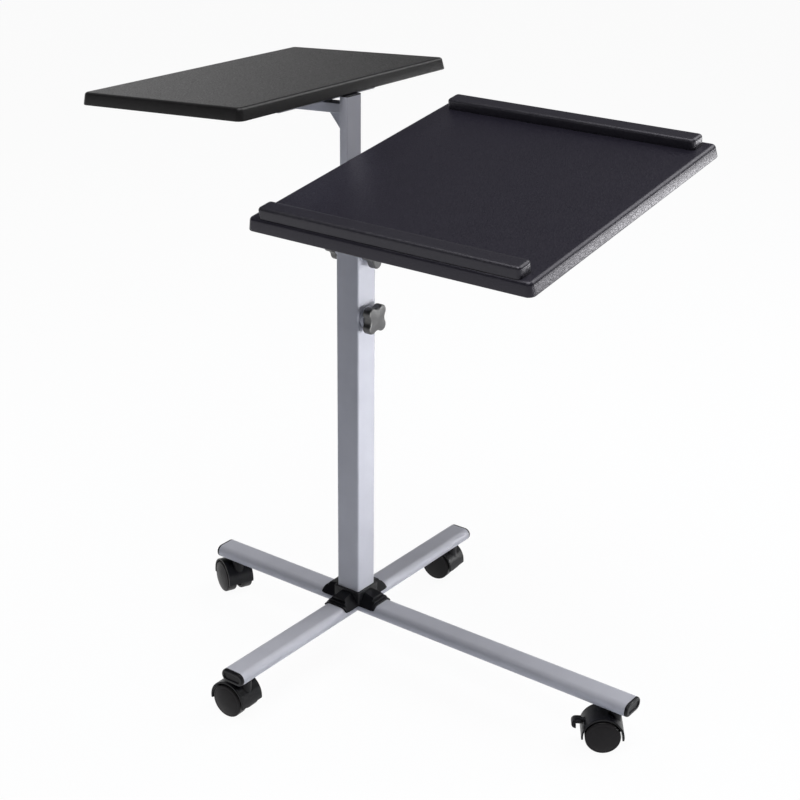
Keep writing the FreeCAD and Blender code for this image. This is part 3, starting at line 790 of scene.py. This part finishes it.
@dataclass
class CrossBase:
    """Flat-oval tubes in a cross, with their end plugs and the moulded saddle over the crossing."""

    tube_width: float = 40.0 * MM
    tube_height: float = 20.0 * MM
    plug_flange: float = 4.5 * MM
    plug_round: float = 3.0 * MM
    plug_rim: float = 5.0 * MM
    plug_dish: float = 1.5 * MM
    plug_lip: float = 0.5 * MM
    plug_rub: float = 2.0 * MM
    sleeve_reach: float = 50.0 * MM
    sleeve_wall: float = 3.0 * MM
    sleeve_foot: float = 0.02 * MM
    sleeve_drop: float = 5.0 * MM
    ledges: tuple[tuple[float, float], ...] = ((46.5 * MM, 5.8 * MM), (42.3 * MM, 10.3 * MM))
    ledge_round: float = 0.6 * MM
    ridge_half: float = 10.8 * MM
    ramp_height: float = 13.2 * MM
    collar_height: float = 17.0 * MM
    collar_half: float = 23.5 * MM
    collar_corner: float = 1.5 * MM
    collar_round: float = 0.7 * MM
    collar_foot: float = 0.2 * MM
    crossing: Array = field(init=False)

    def __post_init__(self) -> None:
        """Find the middle of the crossing from the post and the long tube."""
        self.crossing = middle("main_post")
        self.crossing[2] = middle("long_base_tube")[2]

    def build(self) -> None:
        """Dress the tubes and stems, and make the plugs, the saddle and the bolt below."""
        dress(Slot.SILVER_PAINT, "long_base_tube", "left_base_tube", "right_base_tube")
        dress(Slot.PLATED_STEEL, "caster_stems")
        plugs = join([self.plug(arm) for arm in Arm])
        add_piece("end_plugs", plugs, Slot.BLACK_PLASTIC, "base", "tube_end_plugs")
        add_piece("saddle", self.saddle(), Slot.BLACK_PLASTIC, "base", "saddle_cover")
        under = axes_from(self.crossing - [0.0, 0.0, self.tube_height / 2], X_AXIS, (0.0, 0.0, -1.0))
        add_piece("crossing_bolt", HexBolt().skin(under), Slot.PLATED_STEEL, "base")

    def arm_axes(self, arm: Arm) -> Axes:
        """Axes of an arm from the crossing: w along the arm, v up."""
        along = (math.cos(math.radians(arm.value)), math.sin(math.radians(arm.value)), 0.0)
        return axes_from(self.crossing, np.cross(Z_AXIS, along), along)

    def arm_length(self, arm: Arm) -> float:
        """Distance from the crossing to the end of an arm's tube, without its plug."""
        node = {Arm.RIGHT: "right_base_tube", Arm.LEFT: "left_base_tube"}.get(arm, "long_base_tube")
        return float(self.arm_axes(arm).measure(node)[1][2])

    def plug(self, arm: Arm) -> Skin:
        """End plug: a flat-oval outline carried over a rounded rim and down into a shallow dish.

        Args:
            arm: Which arm.

        Returns:
            The plug's surface.
        """
        outline = RoundedRectangle(self.tube_width, self.tube_height, self.tube_height / 2, steps=14)
        rim = arc((self.plug_round, self.plug_flange - self.plug_round), self.plug_round, 180.0, 90.0)
        lip = self.plug_lip
        floor = self.plug_flange - self.plug_dish
        shoulder = arc((self.plug_rim - lip, self.plug_flange - lip), lip, 90.0, 0.0, steps=4)
        profile = np.concatenate([
            [[0.0, 0.0]],
            rim,
            shoulder,
            [[self.plug_rim, floor + lip], [self.plug_rim + lip, floor], [self.plug_rim + 2 * lip, floor]],
        ])
        axes = self.arm_axes(arm).moved(0.0, 0.0, self.arm_length(arm))
        rub = np.clip(1.0 - np.abs(profile[:, 0] - self.plug_round) / self.plug_rub, 0.0, 1.0)
        return ring_skin(profile_rings(outline, profile, axes), rub=rub)

    def sleeve_outline(self, wall: float) -> Array:
        """Arched section over a tube: two arcs round the tube's sides and the flat between them.

        Args:
            wall: Height of the sleeve over the tube's own surface.

        Returns:
            Array of points (24, 2) across the arm.
        """
        radius = self.tube_height / 2 + wall
        flat = (self.tube_width - self.tube_height) / 2
        low = math.degrees(math.asin((self.tube_height / 2 - self.sleeve_drop) / radius))
        right = arc((flat, 0.0), radius, low, 90.0, steps=12)
        return np.concatenate([right, arc((-flat, 0.0), radius, 90.0, 180.0 - low, steps=12)])

    def sleeve(self, arm: Arm) -> Skin:
        """Sleeve over one arm: the arched section carried outwards to a rounded end.

        Args:
            arm: Which arm.

        Returns:
            The sleeve's surface.
        """
        r = self.ledge_round
        rim = arc((self.sleeve_wall - r, self.sleeve_reach - r), r, 0.0, 90.0, steps=5)
        profile = np.concatenate([[[self.sleeve_wall, 0.0]], rim, [[self.sleeve_foot, self.sleeve_reach]]])
        return ring_skin(profile_rings(self.sleeve_outline, profile, self.arm_axes(arm)))

    def ridge_outline(self, height: float) -> Array:
        """Flat-sided section of a ridge up to a height, with rounded shoulders.

        The sides lean in from the sleeve's foot at half-width b, so the half-width at the height h over the
        foot is b - h tan f, and a shoulder of radius r has its middle r / cos f inside the side.

        Args:
            height: Height of the ridge's top over the tube's middle.

        Returns:
            Array of points (14, 2) across the arm.
        """
        foot = self.tube_height / 2 - self.sleeve_drop
        base = self.tube_width / 2 + self.sleeve_wall
        rise = self.tube_height / 2 + self.ledges[-1][1] - foot
        slope = math.atan2(base - self.ridge_half, rise)
        r = self.ledge_round
        inside = base - math.tan(slope) * (height - r - foot) - r / math.cos(slope)
        shoulder = arc((inside, height - r), r, math.degrees(slope), 90.0)
        right = np.concatenate([[[base, foot]], shoulder])
        return np.concatenate([right, right[::-1] * [-1.0, 1.0]])

    def ridge(self, arm: Arm) -> Skin:
        """Ridge along one arm: its section carried outwards while the top slopes down and drops over ledges.

        Args:
            arm: Which arm.

        Returns:
            The ridge's surface.
        """
        flat = self.tube_height / 2
        r = self.ledge_round
        runs = [[[flat + self.ramp_height, 0.0], [flat + self.ramp_height, self.collar_half]]]
        below = [height for _, height in self.ledges[:-1]]
        for (reach, height), floor in zip(self.ledges[::-1], below[::-1] + [self.sleeve_wall]):
            runs.append(arc((flat + height - r, reach - r), r, 0.0, 90.0, steps=5))
            runs.append([[flat + floor, reach]])
        return ring_skin(profile_rings(self.ridge_outline, np.concatenate(runs), self.arm_axes(arm)))

    def saddle(self) -> Skin:
        """Four sleeves with their stepped ridges and the square collar round the post.

        Returns:
            The saddle's surface.
        """
        low = self.tube_height / 2 - self.sleeve_drop
        height = self.tube_height / 2 + self.collar_height - low
        outline = RoundedRectangle(2 * self.collar_half, 2 * self.collar_half, self.collar_corner)
        axes = axes_from(self.crossing + [0.0, 0.0, low], X_AXIS, Z_AXIS)
        profile = slab_profile(height, self.collar_foot, self.collar_round)
        collar = ring_skin(profile_rings(outline, profile, axes), rub=edge_rub(profile, height))
        return join([collar, *(self.sleeve(arm) for arm in Arm), *(self.ridge(arm) for arm in Arm)])


@dataclass
class ClampedPost:
    """Square post with its guide, nut bosses and the three lobed clamp knobs."""

    lobe_offset: float = 15.0 * MM
    lobe_radius: float = 8.8 * MM
    valley_offset: float = 27.5 * MM
    edge_round: float = 2.4 * MM
    back_margin: float = 1.0 * MM
    crown: float = 0.8 * MM
    crown_shares: tuple[float, float] = (0.9, 0.05)
    stud_radius: float = 4.0 * MM
    stud_chamfer: float = 0.5 * MM
    knob_length: float = 14.0 * MM

    def build(self) -> None:
        """Dress the post and its guide, and make the knobs."""
        dress(Slot.SILVER_PAINT, "main_post", "clamp_bosses")
        dress(Slot.BLACK_PLASTIC, "post_guide")
        for place, turn in (("low", math.pi / 4), ("high", 0.0), ("rear", 0.0)):
            name = place + "_knob"
            add_piece(name, self.knob(place, turn), Slot.KNOB_PLASTIC, name, place + "_clamp_knob")

    def knob(self, place: str, turn: float) -> Skin:
        """Knob head: a four-lobe outline carried over rounded rims to a slightly crowned face, on its stud.

        The face rises by crown (1 - t^2) while the outline shrinks to its share t.

        Args:
            place: Which knob.
            turn: Turn of the lobes about the stud, in radians.

        Returns:
            The knob's surface.
        """
        pivot = joint(place + "_knob_turn")
        axes = axes_from(pivot["pos_m"], Y_AXIS, pivot["axis"])
        low, high = axes.measure(place + "_clamp_knob")
        head = axes.moved(0.0, 0.0, high[2] - self.knob_length)
        outline = Lobed(self.lobe_offset, self.lobe_radius, self.valley_offset, turn=turn)
        r = self.edge_round
        top = self.knob_length - self.crown
        rims = np.concatenate([
            [[r + self.back_margin, 0.0]],
            arc((r, r), r, 270.0, 180.0),
            arc((r, top - r), r, 180.0, 90.0, steps=7),
        ])
        t = np.linspace(*self.crown_shares, CROWN_STEPS)[:, None]
        u, v = outline(r).T
        face = head.place(grid(t * u, t * v, top + self.crown * (1 - t ** 2)))
        rub = np.concatenate([edge_rub(rims, top), np.zeros(len(t))])
        cap = ring_skin(np.concatenate([profile_rings(outline, rims, head), face]), rub=rub)
        c = self.stud_chamfer
        stud = np.array([[c, low[2]], [0.0, low[2] + c], [0.0, high[2] - self.knob_length / 2]])
        return join([cap, ring_skin(profile_rings(Circle(self.stud_radius, steps=32), stud, axes))])


@dataclass
class Board:
    """Foil-wrapped board: a rounded slab that lies where its CAD node does."""

    node: str
    slot: Slot
    body: str
    corner: float
    low_round: float
    high_round: float
    lean: float = 0.0

    def build(self, axes: Axes) -> None:
        """Make the board: a rounded-rectangle outline carried round its edge profile.

        Args:
            axes: Axes of the board, with w square to its face.
        """
        low, high = axes.measure(self.node)
        size = high - low
        center = axes.moved(*((low[:2] + high[:2]) / 2), low[2])
        outline = RoundedRectangle(size[0], size[1], self.corner, steps=12)
        profile = slab_profile(size[2], self.low_round, self.high_round, self.lean)
        slab = ring_skin(profile_rings(outline, profile, center), rub=edge_rub(profile, size[2]))
        add_piece(self.node + "_slab", slab, self.slot, self.body, self.node)


@dataclass
class UpperShelf:
    """Small upper board with its rails, drooping arm and post."""

    droop: float = 3.6
    rail_half: float = 20.0 * MM
    screw_margin: float = 24.0 * MM
    weld: float = 1.3 * MM
    weld_corner: float = 1.5 * MM
    board: Board = field(default_factory=lambda: Board(
        "upper_board", Slot.UPPER_FOIL, "upper_carrier", 10.0 * MM, 1.2 * MM, 4.5 * MM, 3.6 * MM))

    def build(self) -> None:
        """Dress the metal, and make the board, its screws and the arm's welds."""
        dress(Slot.SILVER_PAINT, "upper_post", "upper_arm", "upper_gusset", "upper_rails")
        dress(Slot.BLACK_PLASTIC, "upper_post_cap")
        angle = math.radians(-self.droop)
        along = (math.cos(angle), 0.0, -math.sin(angle))
        axes = axes_from((0.0, 0.0, 0.0), along, (math.sin(angle), 0.0, math.cos(angle)))
        self.board.build(axes)
        add_piece("rail_screws", self.screws(axes), Slot.PLATED_STEEL, "upper_carrier")
        add_piece("arm_welds", self.welds(axes), Slot.SILVER_PAINT, "upper_carrier")

    def screws(self, axes: Axes) -> Skin:
        """Screw heads under both ends of each rail.

        Args:
            axes: Axes of the board, with w square to its face.

        Returns:
            The surface of the heads.
        """
        low, high = axes.measure("upper_rails")
        along = (low[0] + self.rail_half, high[0] - self.rail_half)
        across = (low[1] + self.screw_margin, high[1] - self.screw_margin)
        return screw_heads(axes, along, across, low[2])

    def welds(self, axes: Axes) -> Skin:
        """Beads round the arm's end and along the gusset, on the post's rear face.

        Args:
            axes: Axes of the board, with w square to its face.

        Returns:
            The surface of the beads.
        """
        low, high = axes.measure("upper_arm")
        face = float(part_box("upper_post")[0][0])
        outline = RoundedRectangle(high[1] - low[1], high[2] - low[2], self.weld_corner, steps=40)(0.0)
        height = outline[:, 1] + (high[2] + low[2]) / 2
        ahead = (face - height * axes.w[0]) / axes.u[0]
        ring = axes.place(np.column_stack([ahead, outline[:, 0], height]))
        beads = [bead(ring, X_AXIS, self.weld, looped=True)]
        tip, top = (np.array(corner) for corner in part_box("upper_gusset"))
        foot = axes.place(np.array([ahead.max(), 0.0, low[2]]))[2]
        share = np.linspace(0.0, 1.0, BEAD_STEPS)[:, None]
        for side in (tip[1], top[1]):
            start = np.array([face, side, foot])
            down = np.array([face, side, tip[2] + self.weld])
            out = axes.place(np.array([(tip[0] + self.weld) / axes.u[0], side, low[2]]))
            for end, square in ((down, X_AXIS), (out, Y_AXIS)):
                beads.append(bead(start + share * (end - start), square, self.weld))
        return join(beads)


@dataclass
class TiltingBoard:
    """Main board with its two lips, on knuckle brackets round the hinge bar."""

    tilt: float = 9.5
    bracket_length: float = 40.0 * MM
    bracket_plate: float = 4.0 * MM
    screw_margin: float = 10.0 * MM
    weld: float = 1.6 * MM
    board: Board = field(default_factory=lambda: Board(
        "main_board", Slot.MAIN_FOIL, "tilting_board", 10.0 * MM, 1.5 * MM, 5.5 * MM, 3.4 * MM))
    lips: tuple[Board, ...] = field(default_factory=lambda: tuple(
        Board(name, Slot.LIP_FOIL, "tilting_board", 6.0 * MM, 0.4 * MM, 4.5 * MM)
        for name in ("front_lip", "back_lip")))

    def build(self) -> None:
        """Dress the metal, and make the boards, the brackets' screws and the bar's weld."""
        dress(Slot.SILVER_PAINT, "board_post", "hinge_bar")
        dress(Slot.BLACK_PAINT, "tilt_brackets")
        angle = math.radians(self.tilt)
        up = (0.0, -math.sin(angle), math.cos(angle))
        axes = axes_from(joint("main_board_tilt")["pos_m"], X_AXIS, up)
        for board in (self.board, *self.lips):
            board.build(axes)
        add_piece("bracket_screws", self.screws(axes), Slot.PLATED_STEEL, "tilting_board")
        add_piece("bar_weld", self.bar_weld(), Slot.SILVER_PAINT, "board_carrier")

    def screws(self, axes: Axes) -> Skin:
        """Screw heads under the four corners of each bracket plate.

        Args:
            axes: Axes of the board, with w square to its face.

        Returns:
            The surface of the heads.
        """
        low, high = axes.measure("tilt_brackets")
        near = self.screw_margin
        far = self.bracket_length - near
        along = (low[0] + near, low[0] + far, high[0] - far, high[0] - near)
        return screw_heads(axes, along, (low[1] + near, high[1] - near), high[2] - self.bracket_plate)

    def bar_weld(self) -> Skin:
        """Bead round the hinge bar where it meets its post.

        Returns:
            The bead's surface.
        """
        low, high = (np.array(corner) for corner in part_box("hinge_bar"))
        axes = axes_from((low[0], *(low + high)[1:] / 2), Y_AXIS, X_AXIS)
        circle = Circle((high[2] - low[2]) / 2, steps=160)
        return bead(profile_rings(circle, np.zeros((1, 2)), axes)[0], X_AXIS, self.weld, looped=True)


@dataclass
class Caster:
    """Twin-wheel caster under one arm: hood with web and boss, two wheels, axle and perhaps a brake."""

    name: str
    braked: bool = False
    hood_inner: float = 27.3 * MM
    hood_outer: float = 30.0 * MM
    hood_width: float = 42.0 * MM
    hood_skirt: float = 4.0 * MM
    hood_edge: float = 0.5 * MM
    web_width: float = 6.0 * MM
    web_lift: float = 1.0 * MM
    hub_radius: float = 7.0 * MM
    boss_radius: float = 9.0 * MM
    boss_edges: tuple[float, float] = (0.3 * MM, 0.8 * MM)
    wheel_radius: float = 25.0 * MM
    wheel_inner: float = 5.0 * MM
    wheel_outer: float = 22.0 * MM
    wheel_hollow: tuple[tuple[float, float], ...] = tuple(
        (radius * MM, width * MM)
        for radius, width in ((4.0, 5.0), (10.5, 5.0), (11.0, 5.5), (11.0, 10.0),
                              (21.0, 10.0), (21.0, 5.5), (21.3, 5.0), (22.4, 5.0)))
    wheel_dome: float = 2.5 * MM
    dome_hole: float = 0.3 * MM
    seam_place: float = 0.9
    seam_depth: float = 0.25 * MM
    seam_width: float = 0.5 * MM
    tread_round: float = 2.5 * MM
    tread_band: float = 1.2 * MM
    tread_fade: float = 1.0 * MM
    slot_angle: float = 32.0
    slot_spread: float = 9.0
    slot_width: float = 8.0 * MM
    slot_depth: float = 6.0 * MM
    pedal_width: float = 15.0 * MM
    pedal_neck: float = 6.4 * MM
    pedal_neck_end: float = 4.5 * MM
    pedal_root: float = 2.4 * MM
    pedal_reach: float = 16.5 * MM
    pedal_hook: float = 8.0 * MM
    pedal_thickness: float = 5.2 * MM
    pedal_edge: float = 1.6 * MM
    axes: Axes = field(init=False)
    trail: float = field(init=False)

    def __post_init__(self) -> None:
        """Find the axle's axes (x ahead, y along the axle, z up) and the trail from the joints."""
        roll = joint(self.name + "_wheel_a_roll")
        swivel = joint(self.name + "_caster_swivel")
        self.axes = axes_from(roll["pos_m"], np.cross(roll["axis"], Z_AXIS), Z_AXIS)
        self.trail = math.dist(roll["pos_m"][:2], swivel["pos_m"][:2])

    @property
    def hood_middle(self) -> float:
        """Radius midway through the hood's wall."""
        return (self.hood_inner + self.hood_outer) / 2

    def around(self, radius: Array | float, angle: Array, width: Array) -> Array:
        """Points at a radius and an angle about the axle, and at a width along it."""
        return self.axes.place(grid(radius * np.cos(angle), width, radius * np.sin(angle)))

    def build(self) -> None:
        """Make the hood, the wheels and the pedal, and dress the axle."""
        carrier = self.name + "_caster"
        dress(Slot.PLATED_STEEL, carrier + "_axle")
        hood = join([self.shell(), self.web(), self.boss()])
        add_piece(self.name + "_hood", hood, Slot.BLACK_PLASTIC, carrier, carrier + "_hood",
                  soften=self.hood_edge)
        for side, sign in (("a", 1.0), ("b", -1.0)):
            node = self.name + "_wheel_" + side
            add_piece(node + "_disc", self.wheel(sign), Slot.WHEEL_PLASTIC, node, node)
        if self.braked:
            add_piece("brake_lever", self.pedal(), Slot.BLACK_PLASTIC, "brake", "brake_pedal")

    def shell(self) -> Skin:
        """Hood over the wheels: an arc from skirt to skirt carried across the width, with the pedal's slot.

        Returns:
            The shell's surface.
        """
        low, high = self.slot_angle - self.slot_spread, self.slot_angle + self.slot_spread
        half, cut = self.hood_width / 2, self.slot_width / 2
        turn = stations((0.0, low, high, 180.0), HOOD_TURN_STEPS)
        across = stations((-half, -cut, cut, half), HOOD_WIDTH_STEPS)
        faces = []
        for radius in (self.hood_outer, self.hood_inner):
            drop = math.asin(self.hood_skirt / radius)
            angle = (turn / 180.0 * (np.pi + 2 * drop) - drop)[:, None]
            faces.append(self.around(radius, angle, across))
        keep = np.ones((len(turn) - 1, len(across) - 1), bool)
        if self.braked:
            in_turn = abs((turn[1:] + turn[:-1]) / 2 - self.slot_angle) < self.slot_spread
            in_width = abs((across[1:] + across[:-1]) / 2) < cut
            keep &= ~(in_turn[:, None] & in_width)
        return shell_skin(*faces, keep)

    def web(self) -> Skin:
        """Web between the wheels: a half disc that narrows to the axle hub, as a radius over the angle.

        Returns:
            The web's surface.
        """
        angle = np.radians(np.linspace(-90.0, 270.0, WEB_STEPS, endpoint=False))
        rim = self.hood_middle
        down = np.minimum(np.sin(angle), -TINY)
        radius = np.where(np.sin(angle) >= 0.0, rim, np.clip(self.web_lift / -down, self.hub_radius, rim))
        if self.braked:
            away = np.abs(np.degrees(angle) - self.slot_angle)
            radius = np.where(away < self.slot_spread, self.hood_inner - self.slot_depth, radius)
        sides = self.web_width / 2 * np.array([[-1.0], [1.0]])
        return ring_skin(self.around(radius, angle, sides))

    def boss(self) -> Skin:
        """Swivel boss: a round column whose foot follows the hood, z = sqrt(r^2 - x^2).

        Returns:
            The boss's surface.
        """
        top = float(self.axes.measure(self.name + "_caster_hood")[1][2])
        small, large = self.boss_edges
        outline = Circle(self.boss_radius, steps=40)
        flat = np.stack([outline(inset) for inset in (0.0, 0.0, small, large)])
        x = flat[..., 0] - self.trail
        foot = np.sqrt(np.maximum(self.hood_middle ** 2 - x[0] ** 2, 0.0))
        column = np.broadcast_to([[top - large], [top - small], [top]], (3, len(foot)))
        return ring_skin(self.axes.place(grid(x, flat[..., 1], np.vstack([foot, column]))))

    def wheel(self, sign: float) -> Skin:
        """Wheel half: a profile of radius and width turned about the axle, with a domed outer disc.

        The dome is wheel_outer + dome (1 - (r / rim)^2), with a fine ring groove near its edge.

        Args:
            sign: Side of the web, 1 along the axle or -1 against it.

        Returns:
            The wheel's surface.
        """
        t = self.tread_round
        rim = self.wheel_radius - t
        inner = arc((rim, self.wheel_inner + t), t, 270.0, 360.0)
        outer = arc((rim, self.wheel_outer - t), t, 0.0, 90.0, steps=7)
        r = np.linspace(rim, self.dome_hole, DOME_STEPS)[1:]
        seam = self.seam_depth * np.exp(-((r - self.seam_place * rim) / self.seam_width) ** 2)
        dome = np.column_stack([r, self.wheel_outer + self.wheel_dome * (1 - (r / rim) ** 2) - seam])
        profile = np.concatenate([self.wheel_hollow, inner, outer, dome])
        radius, width = profile[:, :1], profile[:, 1:]
        angle = np.linspace(0.0, 2 * np.pi, WHEEL_STEPS, endpoint=False)
        tread = (profile[:, 0] - self.wheel_radius + self.tread_band) / self.tread_fade
        return ring_skin(self.around(radius, angle, sign * width), rub=np.clip(tread, 0.0, 1.0))

    def pedal(self) -> Skin:
        """Brake pedal: a rounded bar section carried along a straight reach and round its hook.

        Returns:
            The pedal's surface.
        """
        slant = math.radians(self.slot_angle)
        pivot = self.hood_middle * np.array([math.cos(slant), 0.0, math.sin(slant)])
        bend = self.pedal_hook / 2
        straight = np.linspace(-self.pedal_root, self.pedal_reach - bend, REACH_STEPS)
        curl = np.radians(np.linspace(90.0, -90.0, CURL_STEPS))[1:]
        path_x = np.concatenate([straight, self.pedal_reach - bend + bend * np.cos(curl)])[:, None]
        path_z = np.concatenate([np.zeros(len(straight)), bend * np.sin(curl) - bend])[:, None]
        lean = np.concatenate([np.full(len(straight), np.pi / 2), curl])[:, None]
        wide = np.where(path_x < self.pedal_neck_end, self.pedal_neck, self.pedal_width)
        section = RoundedRectangle(self.pedal_width, self.pedal_thickness, self.pedal_edge, steps=5)
        across, off = section(0.0).T
        y = across + np.sign(across) * (wide - self.pedal_width) / 2
        points = grid(path_x + off * np.cos(lean), y, path_z + off * np.sin(lean))
        return ring_skin(self.axes.place(pivot + points))


# Studio


@dataclass(frozen=True)
class Lamp:
    """Soft rectangular lamp aimed at a point."""

    name: str
    place: Triple
    aim: Triple
    width: float
    height: float
    watts: float
    spread: float = 180.0

    def build(self) -> None:
        """Add the lamp."""
        light = bpy.data.lights.new(self.name, "AREA")
        light.energy = self.watts
        light.shape = "RECTANGLE"
        light.size = self.width
        light.size_y = self.height
        light.spread = math.radians(self.spread)
        lamp = bpy.data.objects.new(self.name, light)
        back = np.subtract(self.place, self.aim)
        lamp.matrix_world = axes_from(self.place, np.cross(Z_AXIS, back), back).matrix()
        bpy.context.scene.collection.objects.link(lamp)


@dataclass
class Studio:
    """White floor, soft sky, lamps and the camera at the photograph's viewing angle.

    Each fade of the sky has its axis, the ends of the fade and the strength at both ends.
    """

    image_pixels: float = 800.0
    focal_pixels: float = 1589.55
    sensor: float = 36.0
    yaw: float = 36.493
    pitch: float = 22.844
    roll: float = -0.662
    from_post: Triple = (1.32043, -1.67706, 1.30360)
    floor_half: float = 40.0
    floor_rim: float = 2.7
    floor_glow: float = 0.955
    floor_tones: tuple[Triple, Triple] = ((0.83, 0.86, 0.92), (0.85, 0.88, 0.94))
    speck_scale: float = 6.0
    speck_octaves: float = 2.0
    sky_fades: tuple[tuple[str, tuple[float, float], tuple[float, float]], ...] = (
        ("Z", (0.12, 0.55), (0.3, 0.1)),
        ("Y", (-0.45, 0.25), (0.06, 1.0)),
        ("X", (-0.75, -0.60), (3.33, 0.6)),
    )
    lamps: tuple[Lamp, ...] = (
        Lamp("rim_strip", (1.9, 2.45, 0.34), (0.1, 0.0, 0.45), 1.2, 0.4, 9.5, 110.0),
        Lamp("side_spot", (1.9, 0.3, 0.3), (-0.09, 0.0, 0.44), 0.4, 0.4, 1.05, 30.0),
        Lamp("back_softbox", (1.0, 1.9, 2.7), (0.0, 0.0, 0.2), 2.2, 2.2, 56.0),
        Lamp("top_softbox", (0.2, -0.6, 2.8), (0.0, 0.0, 0.3), 1.8, 1.8, 60.0),
    )

    def build(self) -> None:
        """Add the sky, the floor, the lamps and the camera."""
        bpy.context.scene.view_settings.view_transform = "Standard"
        self.sky()
        self.floor()
        for lamp in self.lamps:
            lamp.build()
        self.camera()

    def sky(self) -> None:
        """World light: brightest low on the -X side, dimmer overhead and in front."""
        world = bpy.data.worlds.new("studio_sky")
        bpy.context.scene.world = world
        graph = ShaderGraph(world)
        ways = graph.add("SeparateXYZ", {"Vector": graph.add("TexCoord", {}).outputs["Generated"]}).outputs
        strength = 1.0
        for axis, ends, strengths in self.sky_fades:
            strength = graph.math("MULTIPLY", strength, graph.span(ways[axis], *strengths, ends))
        graph.feed(graph.tree.nodes["Background"], {"Color": (*EVEN, 1.0), "Strength": strength})

    def floor(self) -> None:
        """White floor with an upright rim, which glows to the eye and in mirrors and takes a soft shadow."""
        square = self.floor_half * np.array([(-1.0, -1.0), (1.0, -1.0), (1.0, 1.0), (-1.0, 1.0)])
        corners = [(*corner, height) for height in (0.0, self.floor_rim) for corner in square]
        sides = [(i, i + 4, (i + 1) % 4 + 4, (i + 1) % 4) for i in range(4)]
        mesh = bpy.data.meshes.new("studio_floor")
        mesh.from_pydata(corners, [], [(0, 1, 2, 3), *sides])
        material = bpy.data.materials.new("floor_white")
        graph = ShaderGraph(material)
        nodes = graph.tree.nodes
        specks = graph.noise(graph.spot(), self.speck_scale, self.speck_octaves)
        tone = graph.tones(specks, *self.floor_tones)
        paper = graph.add("BsdfDiffuse", {"Color": tone}).outputs[0]
        glow = graph.add("Emission", {"Strength": 1.0}).outputs[0]
        rays = graph.add("LightPath", {}).outputs
        seen = graph.math("MAXIMUM", rays["Is Camera Ray"], rays["Is Transmission Ray"])
        share = graph.math("MULTIPLY", graph.math("MAXIMUM", seen, rays["Is Glossy Ray"]), self.floor_glow)
        lit = graph.add("MixShader", {"Fac": share, 1: paper, 2: glow}).outputs[0]
        graph.feed(nodes["Material Output"], {"Surface": lit})
        nodes.remove(nodes["Principled BSDF"])
        mesh.materials.append(material)
        floor = bpy.data.objects.new("studio_floor", mesh)
        bpy.context.scene.collection.objects.link(floor)

    def camera(self) -> None:
        """Camera with the yaw, pitch and roll found from the photograph's edges."""
        y, p, r = (math.radians(angle) for angle in (self.yaw, self.pitch, self.roll))
        ahead = np.array([-math.sin(y) * math.cos(p), math.cos(y) * math.cos(p), -math.sin(p)])
        level = np.array([math.cos(y), math.sin(y), 0.0])
        right = math.cos(r) * level + math.sin(r) * np.cross(ahead, level)
        place = middle("main_post") * (1.0, 1.0, 0.0) + self.from_post
        lens = bpy.data.cameras.new("photo_camera")
        lens.sensor_width = self.sensor
        lens.lens = self.focal_pixels * self.sensor / self.image_pixels
        lens.clip_end = 4 * self.floor_half
        camera = bpy.data.objects.new("photo_camera", lens)
        camera.matrix_world = axes_from(place, right, -ahead).matrix()
        bpy.context.scene.collection.objects.link(camera)
        bpy.context.scene.camera = camera


def main() -> None:
    """Build the sub-assemblies and the studio in order."""
    logging.basicConfig(level=logging.INFO, format="%(name)s: %(message)s")
    CrossBase().build()
    ClampedPost().build()
    UpperShelf().build()
    TiltingBoard().build()
    for name in ("front", "rear", "left", "right"):
        Caster(name, braked=name == "front").build()
    Studio().build()


if __name__ == "__main__":
    main()
